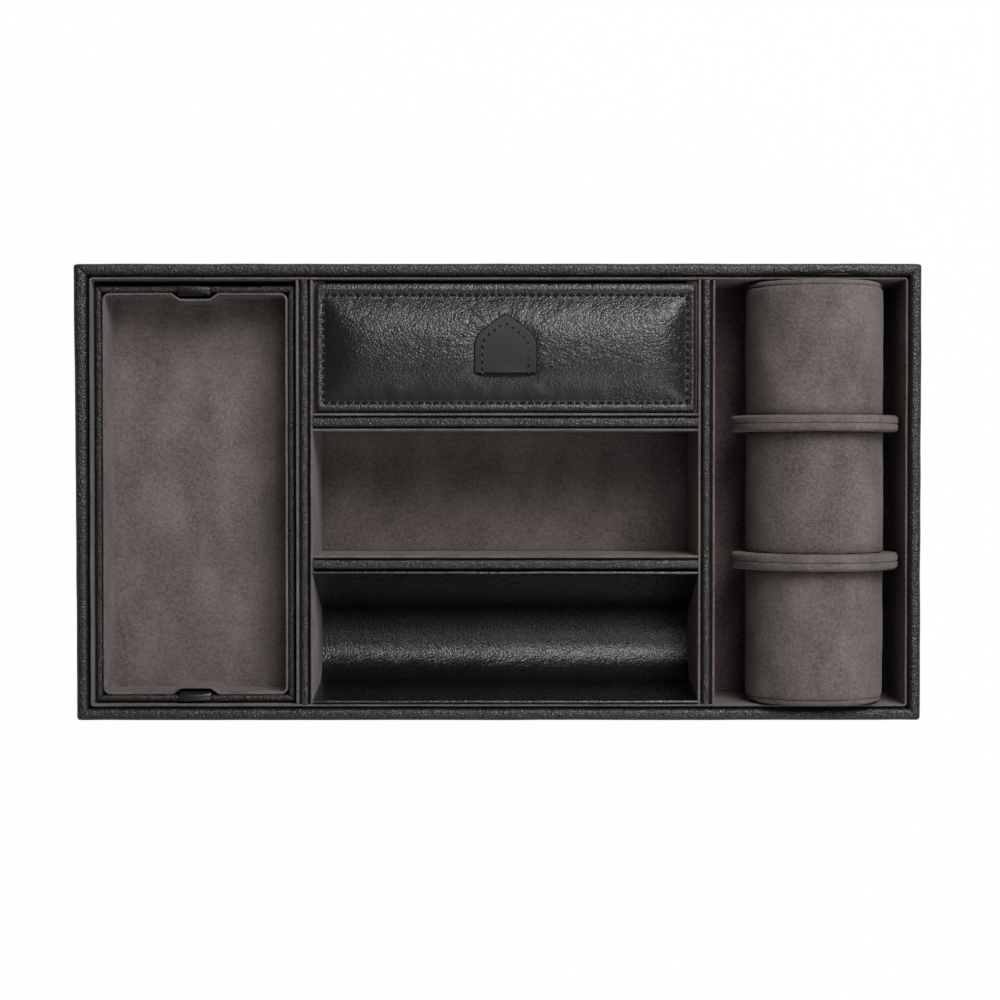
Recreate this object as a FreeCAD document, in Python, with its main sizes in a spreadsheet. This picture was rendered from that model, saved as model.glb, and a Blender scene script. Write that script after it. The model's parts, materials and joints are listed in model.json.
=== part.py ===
# Valet tray: a leather-wrapped case with suede-lined bays, a lift-out tray, a padded lid and a watch cuff.
# Millimetres. The origin is the centre of the underside; +X runs to the right along the long side,
# +Y to the back and +Z up.
import FreeCAD
import Part

import math
import os
import types

import Sketcher

SIZES = {
    # Case and its boards
    "case_length": 370.0,
    "case_width": 200.0,
    "rim_height": 60.0,
    "frame_board": 3.8,
    "frame_skin": 0.7,
    "frame_flap": 12.0,
    "frame_hem": 6.0,
    "frame_corner": 1.8,
    "frame_edge": 1.3,
    "base_cover": 1.0,
    "base_cover_inset": 2.0,
    "base_board": 4.0,
    "floor_pad": 2.3,
    "floor_pad_edge": 1.1,
    "floor_pad_gap": 0.3,
    # Suede lining strips
    "lining": 1.5,
    "lining_gap": 0.3,
    "lining_drop": 0.5,
    "lining_edge": 0.5,
    "lining_corner": 2.0,
    # Dividers and bays
    "left_bay": 89.3,
    "right_bay": 83.2,
    "lid_bay": 58.3,
    "middle_bay": 54.5,
    "long_board": 2.6,
    "cross_board": 3.1,
    "divider_skin": 0.6,
    "divider_flap": 10.0,
    "divider_edge": 1.1,
    "divider_drop": 0.6,
    # Trough
    "trough_skin": 1.6,
    "trough_gap": 0.3,
    "trough_drop": 0.6,
    "trough_roundness": 0.65,
    "trough_lean": 0.217,
    "trough_lip": 0.6,
    # Lift-out tray
    "insert_side_gap": 0.8,
    "insert_front_gap": 0.7,
    "insert_back_gap": 2.3,
    "insert_height": 29.0,
    "insert_drop": 4.5,
    "insert_board": 1.4,
    "insert_skin": 0.6,
    "insert_flap": 6.0,
    "insert_hem": 3.0,
    "insert_corner": 1.2,
    "insert_edge": 0.9,
    "insert_cover": 0.8,
    "insert_base": 2.0,
    "insert_pad": 1.2,
    "insert_lining": 1.0,
    "insert_lining_gap": 0.1,
    "insert_lining_corner": 2.2,
    "insert_ledge": 6.0,
    # Pull tabs of the lift-out tray
    "pull_width": 14.4,
    "pull_thick": 2.1,
    "pull_tip": 1.3,
    "pull_bend": 0.8,
    "pull_round": 1.6,
    "pull_leg": 12.0,
    "bulge_depth": 2.4,
    "bulge_wall": 19.0,
    "bulge_crest": 14.9,
    # Lid
    "lid_side_gap": 1.05,
    "lid_front_gap": 0.5,
    "lid_back_gap": 1.5,
    "lid_drop": 0.5,
    "lid_board": 2.2,
    "lid_skin": 0.9,
    "lid_corner": 2.5,
    "lid_edge": 1.2,
    "lid_margin_side": 4.2,
    "lid_margin_front": 4.6,
    "lid_margin_back": 6.4,
    "lid_crown": 6.0,
    "lid_crown_inset": 15.0,
    "lid_crown_corner": 3.0,
    "lid_lining": 1.8,
    "lid_lining_inset": 6.5,
    "lid_ledge": 5.0,
    "tab_width": 26.8,
    "tab_side": 10.9,
    "tab_rise": 15.3,
    "tab_shoulder": 10.0,
    "tab_front": 11.3,
    "tab_thick": 1.3,
    "tab_gap": 0.1,
    # Watch cuff
    "cuff_radius": 30.4,
    "cuff_flange_radius": 37.2,
    "cuff_tube_radius": 24.0,
    "cuff_tube_wall": 2.0,
    "cuff_tube_gap": 0.15,
    "cuff_end_gap": 0.9,
    "cuff_middle_sleeve": 53.0,
    "cuff_flange_disc": 3.6,
    "cuff_end_disc": 3.4,
    "cuff_disc_edge": 1.5,
    "cuff_sleeve_edge": 1.2,
    "cuff_sleeve_swell": 0.5,
    "cuff_side_gap": 0.7,
    "cuff_floor_gap": 0.3,
}
CROWN_STEPS = 4
SIDES = {"front": -1, "back": 1, "left": -2, "right": 2}
EDGE_REACH = 0.001


class Size:
    """A length with its value and the sheet expression that keeps it up to date."""

    def __init__(self, value, text):
        self.value = value
        self.text = text

    def _join(self, sign, other, result):
        text = other.text if isinstance(other, Size) else repr(float(other))
        return Size(result, f"({self.text} {sign} {text})")

    def __add__(self, other):
        return self._join("+", other, self.value + value_of(other))

    def __sub__(self, other):
        return self._join("-", other, self.value - value_of(other))

    def __mul__(self, other):
        return self._join("*", other, self.value * value_of(other))

    def __truediv__(self, other):
        return self._join("/", other, self.value / value_of(other))

    def __neg__(self):
        return Size(-self.value, f"(-1 * {self.text})")

    __radd__ = __add__
    __rmul__ = __mul__


def value_of(size):
    return size.value if isinstance(size, Size) else float(size)


def make_sheet(document):
    """Writes the driving sizes into a sheet, one alias each, and returns them as Size values."""
    sheet = document.addObject("Spreadsheet::Sheet", "Sizes")
    for row, (name, value) in enumerate(SIZES.items(), start=1):
        sheet.set(f"A{row}", name.replace("_", " "))
        sheet.set(f"B{row}", str(value))
        sheet.setAlias(f"B{row}", name)
    document.recompute()
    return types.SimpleNamespace(**{name: Size(value, f"Sizes.{name}") for name, value in SIZES.items()})


doc = FreeCAD.newDocument("ValetTray")
size = make_sheet(doc)
ZERO = Size(0.0, "0")
pieces = []


# Shared ways of making a piece


def bind(target, name, value):
    target.setExpression(name, value.text)


def place(target, x, y, z):
    for axis, value in zip("xyz", (x, y, z)):
        bind(target, f"Placement.Base.{axis}", value)


def new_body(label):
    body = doc.addObject("PartDesign::Body", label)
    body.Label = label
    return body


def origin_plane(body, role):
    return next(feature for feature in body.Origin.OriginFeatures if feature.Role == role)


def new_sketch(body, name, role="XY_Plane", height=ZERO):
    """A sketch on one of the body's own planes, raised along the plane's normal."""
    sketch = body.newObject("Sketcher::SketchObject", f"{body.Label}_{name}")
    sketch.AttachmentSupport = (origin_plane(body, role), [""])
    sketch.MapMode = "FlatFace"
    bind(sketch, "AttachmentOffset.Base.z", height)
    return sketch


def fix_point(sketch, geometry, position, point):
    """Holds a point of the sketch at its two Size distances from the sketch's origin."""
    for kind, value in zip(("DistanceX", "DistanceY"), point):
        index = sketch.addConstraint(Sketcher.Constraint(kind, -1, 1, geometry, position, value.value))
        sketch.setExpression(f"Constraints[{index}]", value.text)


def fix_length(sketch, kind, geometry, value):
    index = sketch.addConstraint(Sketcher.Constraint(kind, geometry, value.value))
    sketch.setExpression(f"Constraints[{index}]", value.text)


def vector(point):
    return FreeCAD.Vector(point[0].value, point[1].value, 0)


def add_line(sketch, start, end):
    return sketch.addGeometry(Part.LineSegment(vector(start), vector(end)))


def draw_polygon(sketch, points):
    """A closed outline of straight edges, each corner held by its own two sizes."""
    edges = [add_line(sketch, start, end) for start, end in zip(points, points[1:] + points[:1])]
    for index, edge in enumerate(edges):
        sketch.addConstraint(Sketcher.Constraint("Coincident", edges[index - 1], 2, edge, 1))
        fix_point(sketch, edge, 1, points[index])


def rectangle(low_x, high_x, low_y, high_y):
    return [(low_x, low_y), (high_x, low_y), (high_x, high_y), (low_x, high_y)]


def draw_rounded_rectangle(sketch, low_x, high_x, low_y, high_y, radius):
    """A rectangle with quarter-circle corners of one radius."""
    centres = rectangle(low_x + radius, high_x - radius, low_y + radius, high_y - radius)
    arcs = []
    for quarter, centre in enumerate(centres):
        start = math.pi * (1 + quarter / 2)
        circle = Part.Circle(vector(centre), FreeCAD.Vector(0, 0, 1), radius.value)
        arc = sketch.addGeometry(Part.ArcOfCircle(circle, start, start + math.pi / 2))
        fix_point(sketch, arc, 3, centre)
        fix_length(sketch, "Radius", arc, radius)
        arcs.append(arc)
    for quarter, arc in enumerate(arcs):
        after = arcs[(quarter + 1) % 4]
        start = sketch.getPoint(arc, 2)
        end = sketch.getPoint(after, 1)
        line = sketch.addGeometry(Part.LineSegment(start, end))
        sketch.addConstraint(Sketcher.Constraint("Tangent", arc, 2, line, 1))
        sketch.addConstraint(Sketcher.Constraint("Tangent", line, 2, after, 1))


def add_pad(body, name, sketch, length, centred=False):
    pad = body.newObject("PartDesign::Pad", f"{body.Label}_{name}")
    pad.Profile = sketch
    bind(pad, "Length", length)
    if centred:
        pad.SideType = "Symmetric"
    doc.recompute()
    return pad


def add_pocket_up(body, name, sketch, depth):
    """Cuts upwards from a sketch that lies under the material."""
    before = body.Shape.Volume
    pocket = body.newObject("PartDesign::Pocket", f"{body.Label}_{name}")
    pocket.Profile = sketch
    pocket.Reversed = True
    bind(pocket, "Length", depth)
    doc.recompute()
    assert pocket.Shape.Volume < before, f"{pocket.Label} cuts nothing"
    return pocket


def add_fillet(body, name, chosen, radius):
    """Rounds the edges of the body's last feature for which chosen(edge) is true."""
    base = body.Tip
    names = [f"Edge{number}" for number, edge in enumerate(base.Shape.Edges, start=1) if chosen(edge)]
    fillet = body.newObject("PartDesign::Fillet", f"{body.Label}_{name}")
    fillet.Base = (base, names)
    bind(fillet, "Radius", radius)
    doc.recompute()
    return fillet


def is_upright(edge):
    run = edge.Vertexes[-1].Point - edge.Vertexes[0].Point
    return abs(run.z) > EDGE_REACH > math.hypot(run.x, run.y)


def at_height(height):
    """Picks the edges that lie level at a height of the body's own frame."""
    return lambda edge: all(abs(vertex.Z - value_of(height)) < EDGE_REACH for vertex in edge.Vertexes)


def inside_of(half_x, half_y):
    """Picks the edges whose middle lies on or within an upright box about the body's axis."""

    def chosen(edge):
        middle = edge.BoundBox.Center
        return (abs(middle.x) < value_of(half_x) + EDGE_REACH
                and abs(middle.y) < value_of(half_y) + EDGE_REACH)

    return chosen


def outside_of(half_x, half_y):
    """Picks the edges that inside_of leaves."""
    inside = inside_of(half_x, half_y)
    return lambda edge: not inside(edge)


def corner_of(half_x, half_y):
    """Picks upright edges that stand at the four corners of a rectangle about the body's axis."""

    def chosen(edge):
        middle = edge.BoundBox.Center
        return (abs(abs(middle.x) - value_of(half_x)) < EDGE_REACH
                and abs(abs(middle.y) - value_of(half_y)) < EDGE_REACH and is_upright(edge))

    return chosen


def runs_along(axis):
    """Picks straight edges that run along one axis."""
    index = "xyz".index(axis)

    def chosen(edge):
        run = edge.Vertexes[-1].Point - edge.Vertexes[0].Point
        return abs(run[index]) > 0.99 * run.Length > 0

    return chosen


def near_top(reach):
    """Picks edges within a reach of zero height in the body's own frame."""
    return lambda edge: abs(edge.BoundBox.Center.z) < value_of(reach)


def at_y(position):
    return lambda edge: abs(edge.BoundBox.Center.y - value_of(position)) < EDGE_REACH


def outer_circles(radius):
    """Picks full circles about the turning axis that are at least this large."""

    def chosen(edge):
        curve = edge.Curve
        return isinstance(curve, Part.Circle) and curve.Radius > value_of(radius) - EDGE_REACH

    return chosen


def both(*tests):
    return lambda edge: all(test(edge) for test in tests)


def add_board(label, low, high):
    """A plain board between two corners, each given as three sizes."""
    board = doc.addObject("Part::Box", label)
    board.Label = label
    for name, start, end in zip(("Length", "Width", "Height"), low, high):
        bind(board, name, end - start)
    place(board, *low)
    pieces.append(board)
    return board


def add_pad_block(label, low, high, corner=None, rim=None):
    """A block between two corners, with rounded upright corners and a rounded top rim where given."""
    body = new_body(label)
    length, width, height = (end - start for start, end in zip(low, high))
    sketch = new_sketch(body, "outline")
    if corner:
        draw_rounded_rectangle(sketch, ZERO, length, ZERO, width, corner)
    else:
        draw_polygon(sketch, rectangle(ZERO, length, ZERO, width))
    add_pad(body, "thickness", sketch, height)
    if rim:
        add_fillet(body, "rim", at_height(height), rim)
    place(body, *low)
    pieces.append(body)
    return body


def add_prism(label, points, bottom, height):
    body = new_body(label)
    sketch = new_sketch(body, "outline", height=bottom)
    draw_polygon(sketch, points)
    add_pad(body, "height", sketch, height)
    return body


def combine(kind, label, base, tool, keep=True):
    """A boolean of two objects that follows both of them."""
    result = doc.addObject(kind, label)
    result.Label = label
    result.Base = base
    result.Tool = tool
    if keep:
        pieces.append(result)
    return result


# Heights and half sizes that several pieces share

half_length = size.case_length / 2
half_width = size.case_width / 2
frame_wall = size.frame_board + size.frame_skin * 2
lining_room = size.lining_gap + size.lining
inner_x = half_length - frame_wall - lining_room
inner_y = half_width - frame_wall - lining_room
board_bottom = size.base_cover + size.frame_skin
base_top = board_bottom + size.base_board
floor_top = base_top + size.floor_pad
lining_top = size.rim_height - size.lining_drop
divider_top = size.rim_height - size.divider_drop
divider_lining_top = divider_top - size.lining_drop

long_half = size.long_board / 2 + size.divider_skin
cross_half = size.cross_board / 2 + size.divider_skin
divider_left_x = size.left_bay + long_half + lining_room - inner_x
divider_right_x = inner_x - size.right_bay - long_half - lining_room
centre_low_x = divider_left_x + long_half + lining_room
centre_high_x = divider_right_x - long_half - lining_room
centre_x = (centre_low_x + centre_high_x) / 2
cross_rear_y = inner_y - size.lid_bay - cross_half - lining_room
middle_high_y = cross_rear_y - cross_half - lining_room
middle_low_y = middle_high_y - size.middle_bay
cross_front_y = middle_low_y - lining_room - cross_half
trough_high_y = cross_front_y - cross_half


def wrap_sizes(kind):
    """The sheet's sizes for one leather wrap, without the name of what it wraps."""
    names = ("board", "skin", "flap", "hem", "corner", "edge")
    return types.SimpleNamespace(**{name: getattr(size, f"{kind}_{name}") for name in names})


def add_wrapped_ring(label, wrap, half_x, half_y, top):
    """Leather round four boards: outside, over the top, down inside, and a hem turned in underneath.

    The body's own frame has its zero height at the underside of the hem.
    """
    body = new_body(label)
    skin = wrap.skin
    wall = wrap.board + skin * 2

    def ring(name, outset, inset, bottom, height, rounded=False):
        sketch = new_sketch(body, name, height=bottom)
        outer_x, outer_y = half_x - outset, half_y - outset
        if rounded:
            draw_rounded_rectangle(sketch, -outer_x, outer_x, -outer_y, outer_y, wrap.corner)
        else:
            draw_polygon(sketch, rectangle(-outer_x, outer_x, -outer_y, outer_y))
        draw_polygon(sketch, rectangle(inset - half_x, half_x - inset, inset - half_y, half_y - inset))
        return add_pad(body, name + "_leather", sketch, height)

    ring("outside", ZERO, skin, ZERO, top, rounded=True)
    ring("top", skin, wall, top - skin, skin)
    ring("inside", wrap.board + skin, wall, top - skin - wrap.flap, wrap.flap)
    ring("underneath", skin, skin + wrap.hem, ZERO, skin)
    inner_opening = (half_x - wall, half_y - wall)
    add_fillet(body, "outer_rim", both(at_height(top), outside_of(*inner_opening)), wrap.edge)
    add_fillet(body, "inner_rim", both(at_height(top), inside_of(*inner_opening)), wrap.edge)
    return body


# Base

def build_base():
    cover_x = half_length - size.base_cover_inset
    cover_y = half_width - size.base_cover_inset
    add_pad_block("base_cover", (-cover_x, -cover_y, ZERO), (cover_x, cover_y, size.base_cover),
                  corner=size.frame_corner)
    board_x = half_length - size.frame_skin - size.frame_board
    board_y = half_width - size.frame_skin - size.frame_board
    add_board("base_board", (-board_x, -board_y, board_bottom), (board_x, board_y, base_top))


# Frame

def side_prism(label, half_x, half_y, reach, bottom, height, across):
    """The mitred column of one side of the case: across is +1 or -1 along Y, or +2 or -2 along X."""
    sign = 1 if across > 0 else -1
    if abs(across) == 1:
        points = [(-half_x, half_y * sign), (half_x, half_y * sign),
                  (half_x - reach, (half_y - reach) * sign), (reach - half_x, (half_y - reach) * sign)]
    else:
        points = [(half_x * sign, -half_y), (half_x * sign, half_y),
                  ((half_x - reach) * sign, half_y - reach), ((half_x - reach) * sign, reach - half_y)]
    return add_prism(label, points, bottom, height)


def build_frame():
    leather_height = size.rim_height - size.base_cover
    ring = add_wrapped_ring("frame_leather_ring", wrap_sizes("frame"), half_length, half_width,
                            leather_height)
    place(ring, ZERO, ZERO, size.base_cover)
    for side, across in SIDES.items():
        board = side_prism(f"frame_board_{side}", half_length - size.frame_skin, half_width - size.frame_skin,
                           size.frame_board, board_bottom,
                           size.rim_height - size.frame_skin - board_bottom, across)
        pieces.append(board)
        column = side_prism(f"frame_column_{side}", half_length, half_width, frame_wall * 2,
                            size.base_cover, leather_height, across)
        combine("Part::Common", f"frame_leather_{side}", ring, column)


def build_frame_lining():
    """One strip that runs round all four walls and turns the corners."""
    body = new_body("frame_lining")
    outer_x, outer_y = inner_x + size.lining, inner_y + size.lining
    outer = new_sketch(body, "strip")
    draw_rounded_rectangle(outer, -outer_x, outer_x, -outer_y, outer_y, size.lining_corner + size.lining)
    draw_rounded_rectangle(outer, -inner_x, inner_x, -inner_y, inner_y, size.lining_corner)
    height = lining_top - base_top
    add_pad(body, "height", outer, height)
    add_fillet(body, "top_edges", at_height(height), size.lining_edge)
    place(body, ZERO, ZERO, base_top)
    pieces.append(body)


# Dividers

def add_divider(label, along, centre, start, end, board, lined_sides):
    """A board with leather folded over its top and a lining strip on each side named in lined_sides.

    A divider along "y" stands at X = centre, and one along "x" at Y = centre.
    """
    half_board = board / 2
    half_wall = half_board + size.divider_skin

    def corners(low, high, bottom, top):
        if along == "y":
            return (low, start, bottom), (high, end, top)
        return (start, low, bottom), (end, high, top)

    add_board(f"{label}_board", *corners(centre - half_board, centre + half_board, base_top,
                                         divider_top - size.divider_skin))
    wrap = new_body(f"{label}_leather")
    sketch = new_sketch(wrap, "fold", "XZ_Plane" if along == "y" else "YZ_Plane")
    draw_polygon(sketch, [
        (-half_wall, -size.divider_flap), (-half_board, -size.divider_flap),
        (-half_board, -size.divider_skin), (half_board, -size.divider_skin),
        (half_board, -size.divider_flap), (half_wall, -size.divider_flap),
        (half_wall, ZERO), (-half_wall, ZERO)])
    add_pad(wrap, "run", sketch, end - start, centred=True)
    add_fillet(wrap, "top_edges", both(at_height(ZERO), runs_along(along)), size.divider_edge)
    middle = (start + end) / 2
    if along == "y":
        place(wrap, centre, middle, divider_top)
    else:
        place(wrap, middle, centre, divider_top)
    pieces.append(wrap)
    for side, sign in lined_sides.items():
        near = half_wall + size.lining_gap
        far = near + size.lining
        low, high = (centre + near, centre + far) if sign > 0 else (centre - far, centre - near)
        add_pad_block(f"{label}_lining_{side}", *corners(low, high, base_top, divider_lining_top),
                      rim=size.lining_edge)


def build_dividers():
    both_sides = {"left": -1, "right": 1}
    add_divider("left_divider", "y", divider_left_x, -inner_y, inner_y, size.long_board, both_sides)
    add_divider("right_divider", "y", divider_right_x, -inner_y, inner_y, size.long_board, both_sides)
    add_divider("rear_cross_divider", "x", cross_rear_y, centre_low_x, centre_high_x, size.cross_board,
                {"front": -1, "rear": 1})
    add_divider("front_cross_divider", "x", cross_front_y, centre_low_x, centre_high_x, size.cross_board,
                {"rear": 1})


def build_floor_pads():
    """Suede-covered pads on the base board, one in each bay that has a flat floor."""
    gap = size.floor_pad_gap
    bays = {
        "left_floor_pad": (-inner_x, divider_left_x - long_half - lining_room, -inner_y, inner_y),
        "lid_bay_floor_pad": (centre_low_x, centre_high_x, cross_rear_y + cross_half + lining_room, inner_y),
        "middle_floor_pad": (centre_low_x, centre_high_x, middle_low_y, middle_high_y),
        "cuff_floor_pad": (divider_right_x + long_half + lining_room, inner_x, -inner_y, inner_y),
    }
    for label, (low_x, high_x, low_y, high_y) in bays.items():
        add_pad_block(label, (low_x + gap, low_y + gap, base_top), (high_x - gap, high_y - gap, floor_top),
                      corner=size.lining_corner, rim=size.floor_pad_edge)


# Trough

def tangent_point(start, centre, radius, turn):
    """The point where a line from start touches a circle; turn is +1 or -1 for which side."""
    away_x, away_y = start[0] - centre[0], start[1] - centre[1]
    distance = math.hypot(away_x, away_y)
    angle = math.atan2(away_y, away_x) + turn * math.acos(radius / distance)
    return centre[0] + radius * math.cos(angle), centre[1] + radius * math.sin(angle)


def draw_trough_section(sketch, half_mouth, low_y, low_z, radius, skin):
    """A leather-covered card bent into a trough: two flanks that run tangent into one round bottom.

    Heights are measured from the lip, and the round bottom's centre is at low_y, low_z.
    """
    normal = FreeCAD.Vector(0, 0, 1)
    centre = (low_y.value, low_z.value)
    faces = []
    for reach in (0.0, skin.value):
        arc_radius = radius.value + reach
        ends = []
        for side, turn in ((-1, 1), (1, -1)):
            lip = (side * half_mouth.value, 0.0)
            touch = tangent_point(lip, centre, radius.value, turn)
            out = ((touch[0] - centre[0]) / radius.value, (touch[1] - centre[1]) / radius.value)
            ends.append(((lip[0] + out[0] * reach, lip[1] + out[1] * reach),
                         (touch[0] + out[0] * reach, touch[1] + out[1] * reach), out))
        circle = Part.Circle(FreeCAD.Vector(*centre, 0), normal, arc_radius)
        angles = [math.atan2(end[2][1], end[2][0]) for end in ends]
        arc = sketch.addGeometry(Part.ArcOfCircle(circle, angles[0], angles[1]))
        flanks = []
        for position, (lip, touch, _) in zip((1, 2), ends):
            flank = sketch.addGeometry(Part.LineSegment(FreeCAD.Vector(*lip, 0), FreeCAD.Vector(*touch, 0)))
            sketch.addConstraint(Sketcher.Constraint("Tangent", flank, 2, arc, position))
            flanks.append(flank)
        faces.append((arc, flanks))
    (inner_arc, inner_flanks), (outer_arc, outer_flanks) = faces
    fix_point(sketch, inner_arc, 3, (low_y, low_z))
    fix_length(sketch, "Radius", inner_arc, radius)
    sketch.addConstraint(Sketcher.Constraint("Coincident", inner_arc, 3, outer_arc, 3))
    fix_length(sketch, "Radius", outer_arc, radius + skin)
    for sign, inner, outer in zip((-1, 1), inner_flanks, outer_flanks):
        fix_point(sketch, inner, 1, (half_mouth * sign, ZERO))
        start, end = sketch.getPoint(inner, 1), sketch.getPoint(outer, 1)
        cap = sketch.addGeometry(Part.LineSegment(start, end))
        sketch.addConstraint(Sketcher.Constraint("Coincident", cap, 1, inner, 1))
        sketch.addConstraint(Sketcher.Constraint("Coincident", cap, 2, outer, 1))
        sketch.addConstraint(Sketcher.Constraint("Perpendicular", cap, inner))


def build_trough():
    """The sling rests on the base board and its flanks rise to the front cross divider and the frame."""
    lip_top = size.rim_height - size.trough_drop
    half_mouth = (trough_high_y + inner_y) / 2 - size.trough_gap - size.trough_skin
    centre_y = (trough_high_y - inner_y) / 2
    low_radius = half_mouth * size.trough_roundness
    low_y = -half_mouth * size.trough_lean
    low_z = base_top + size.trough_skin + low_radius - lip_top
    body = new_body("trough_sling")
    sketch = new_sketch(body, "section", "YZ_Plane")
    draw_trough_section(sketch, half_mouth, low_y, low_z, low_radius, size.trough_skin)
    add_pad(body, "run", sketch, centre_high_x - centre_low_x, centred=True)
    add_fillet(body, "lips", both(runs_along("x"), near_top(size.trough_skin)), size.trough_lip)
    place(body, centre_x, centre_y, lip_top)
    pieces.append(body)


# Ledges that carry the lift-out tray and the lid

insert_bottom = size.rim_height - size.insert_drop - size.insert_height
left_low_x = -inner_x
left_high_x = divider_left_x - long_half - lining_room
lid_top = size.rim_height - size.lid_drop
lid_bottom = lid_top - size.lid_skin - size.lid_board
lid_bay_low_y = cross_rear_y + cross_half + lining_room


def add_pair(label, first, second):
    """Two like pieces that share one name."""
    for block in (first, second):
        pieces.remove(block)
    pair = doc.addObject("Part::Compound", label)
    pair.Label = label
    pair.Links = [first, second]
    pieces.append(pair)


def build_ledges():
    clear = size.lining_corner
    insert_ledges = [
        add_pad_block(f"insert_ledge_{end}", (left_low_x + clear, low_y, floor_top),
                      (left_high_x - clear, low_y + size.insert_ledge, insert_bottom))
        for end, low_y in (("front", -inner_y), ("back", inner_y - size.insert_ledge))
    ]
    add_pair("insert_ledges", *insert_ledges)
    gap = size.floor_pad_gap
    lid_ledges = [
        add_pad_block(f"lid_ledge_{end}", (low_x, lid_bay_low_y + gap, floor_top),
                      (low_x + size.lid_ledge, inner_y - gap, lid_bottom))
        for end, low_x in (("left", centre_low_x), ("right", centre_high_x - size.lid_ledge))
    ]
    add_pair("lid_ledges", *lid_ledges)


# Lift-out tray

def build_insert():
    """Everything here stands in the tray's own frame: its centre in plan, zero height at its underside."""
    centre_insert_x = (left_low_x + left_high_x) / 2
    centre_insert_y = (size.insert_front_gap - size.insert_back_gap) / 2
    half_x = (left_high_x - left_low_x) / 2 - size.insert_side_gap
    half_y = inner_y - (size.insert_front_gap + size.insert_back_gap) / 2
    skin, board = size.insert_skin, size.insert_board
    wall = board + skin * 2
    wall_bottom = size.insert_cover + skin
    pad_bottom = wall_bottom + size.insert_base

    def seat(piece, x=ZERO, y=ZERO, z=ZERO):
        place(piece, centre_insert_x + x, centre_insert_y + y, insert_bottom + z)

    def seated_block(label, low, high, **rounding):
        shift = (centre_insert_x, centre_insert_y, insert_bottom)
        corners = [tuple(value + move for value, move in zip(corner, shift)) for corner in (low, high)]
        return add_pad_block(label, *corners, **rounding)

    leather = add_wrapped_ring("insert_leather", wrap_sizes("insert"), half_x, half_y,
                               size.insert_height - size.insert_cover)
    seat(leather, z=size.insert_cover)
    pieces.append(leather)
    inset = size.base_cover_inset
    seated_block("insert_cover", (inset - half_x, inset - half_y, ZERO),
                 (half_x - inset, half_y - inset, size.insert_cover), corner=size.insert_corner)
    edge_x, edge_y = half_x - skin, half_y - skin
    wall_top = size.insert_height - skin
    for side, sign in (("front", -1), ("back", 1)):
        faces = sorted((edge_y * sign, (edge_y - board) * sign), key=value_of)
        seated_block(f"insert_wall_{side}", (-edge_x, faces[0], wall_bottom), (edge_x, faces[1], wall_top))
    for side, sign in (("left", -1), ("right", 1)):
        faces = sorted((edge_x * sign, (edge_x - board) * sign), key=value_of)
        seated_block(f"insert_wall_{side}", (faces[0], board - edge_y, wall_bottom),
                     (faces[1], edge_y - board, wall_top))
    base_x, base_y = edge_x - board, edge_y - board
    seated_block("insert_base", (-base_x, -base_y, wall_bottom), (base_x, base_y, pad_bottom))

    outer_x = half_x - wall - size.insert_lining_gap
    outer_y = half_y - wall - size.insert_lining_gap
    lining = new_body("insert_lining")
    sketch = new_sketch(lining, "strip")
    draw_bulged_rectangle(sketch, outer_x, outer_y, ZERO)
    draw_bulged_rectangle(sketch, outer_x, outer_y, size.insert_lining)
    height = size.insert_height - size.lining_drop - pad_bottom
    add_pad(lining, "height", sketch, height)
    lining_inner_x = outer_x - size.insert_lining
    lining_inner_y = outer_y - size.insert_lining
    add_fillet(lining, "inner_corners", corner_of(lining_inner_x, lining_inner_y),
               size.insert_lining_corner)
    add_fillet(lining, "outer_corners", corner_of(outer_x, outer_y),
               size.insert_lining_corner + size.insert_lining)
    seat(lining, z=pad_bottom)
    pieces.append(lining)

    gap = size.floor_pad_gap
    pad = new_body("insert_floor_pad")
    sketch = new_sketch(pad, "outline")
    draw_bulged_rectangle(sketch, outer_x, outer_y, size.insert_lining + gap)
    add_pad(pad, "thickness", sketch, size.insert_pad)
    add_fillet(pad, "corners", corner_of(lining_inner_x - gap, lining_inner_y - gap),
               size.insert_lining_corner)
    add_fillet(pad, "rim", at_height(size.insert_pad), size.insert_pad / 2)
    seat(pad, z=pad_bottom)
    pieces.append(pad)
    for side, sign in (("front", -1), ("back", 1)):
        tab = add_pull_tab(f"insert_tab_{side}", wall, sign)
        seat(tab, y=(half_y - wall) * sign, z=size.insert_height)


def draw_bulged_rectangle(sketch, half_x, half_y, inset):
    """The lining's plan, drawn inwards from its outer face, with a bulge round each pull tab."""
    wall, crest = size.bulge_wall / 2, size.bulge_crest / 2
    slope = math.atan(size.bulge_depth.value / (wall.value - crest.value))
    ease = inset * math.tan(slope / 2)
    x, y = half_x - inset, half_y - inset
    crest_y = y - size.bulge_depth
    front = [(-x, -y), (-(wall + ease), -y), (-(crest + ease), -crest_y), (crest + ease, -crest_y),
             (wall + ease, -y), (x, -y)]
    draw_polygon(sketch, front + [(-across, -along) for across, along in front])


def add_pull_tab(label, wall, sign):
    """A leather strip that stands behind the lining and bends outwards over the tray's rim.

    Its own frame has y = 0 at the wall's inner face and zero height at the rim.
    """
    body = new_body(label)
    sketch = new_sketch(body, "bend", "YZ_Plane")
    low, top = -size.pull_leg, size.pull_thick
    far, back, bend = wall * sign, -size.pull_thick * sign, size.pull_bend * sign
    draw_polygon(sketch, [(ZERO, low), (ZERO, ZERO), (far, ZERO), (far, size.pull_tip), (bend, top),
                          (back, top), (back, low)])
    add_pad(body, "width", sketch, size.pull_width, centred=True)
    add_fillet(body, "bend", both(runs_along("x"), at_height(top), at_y(back)), size.pull_round)
    pieces.append(body)
    return body


# Lid

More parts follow.
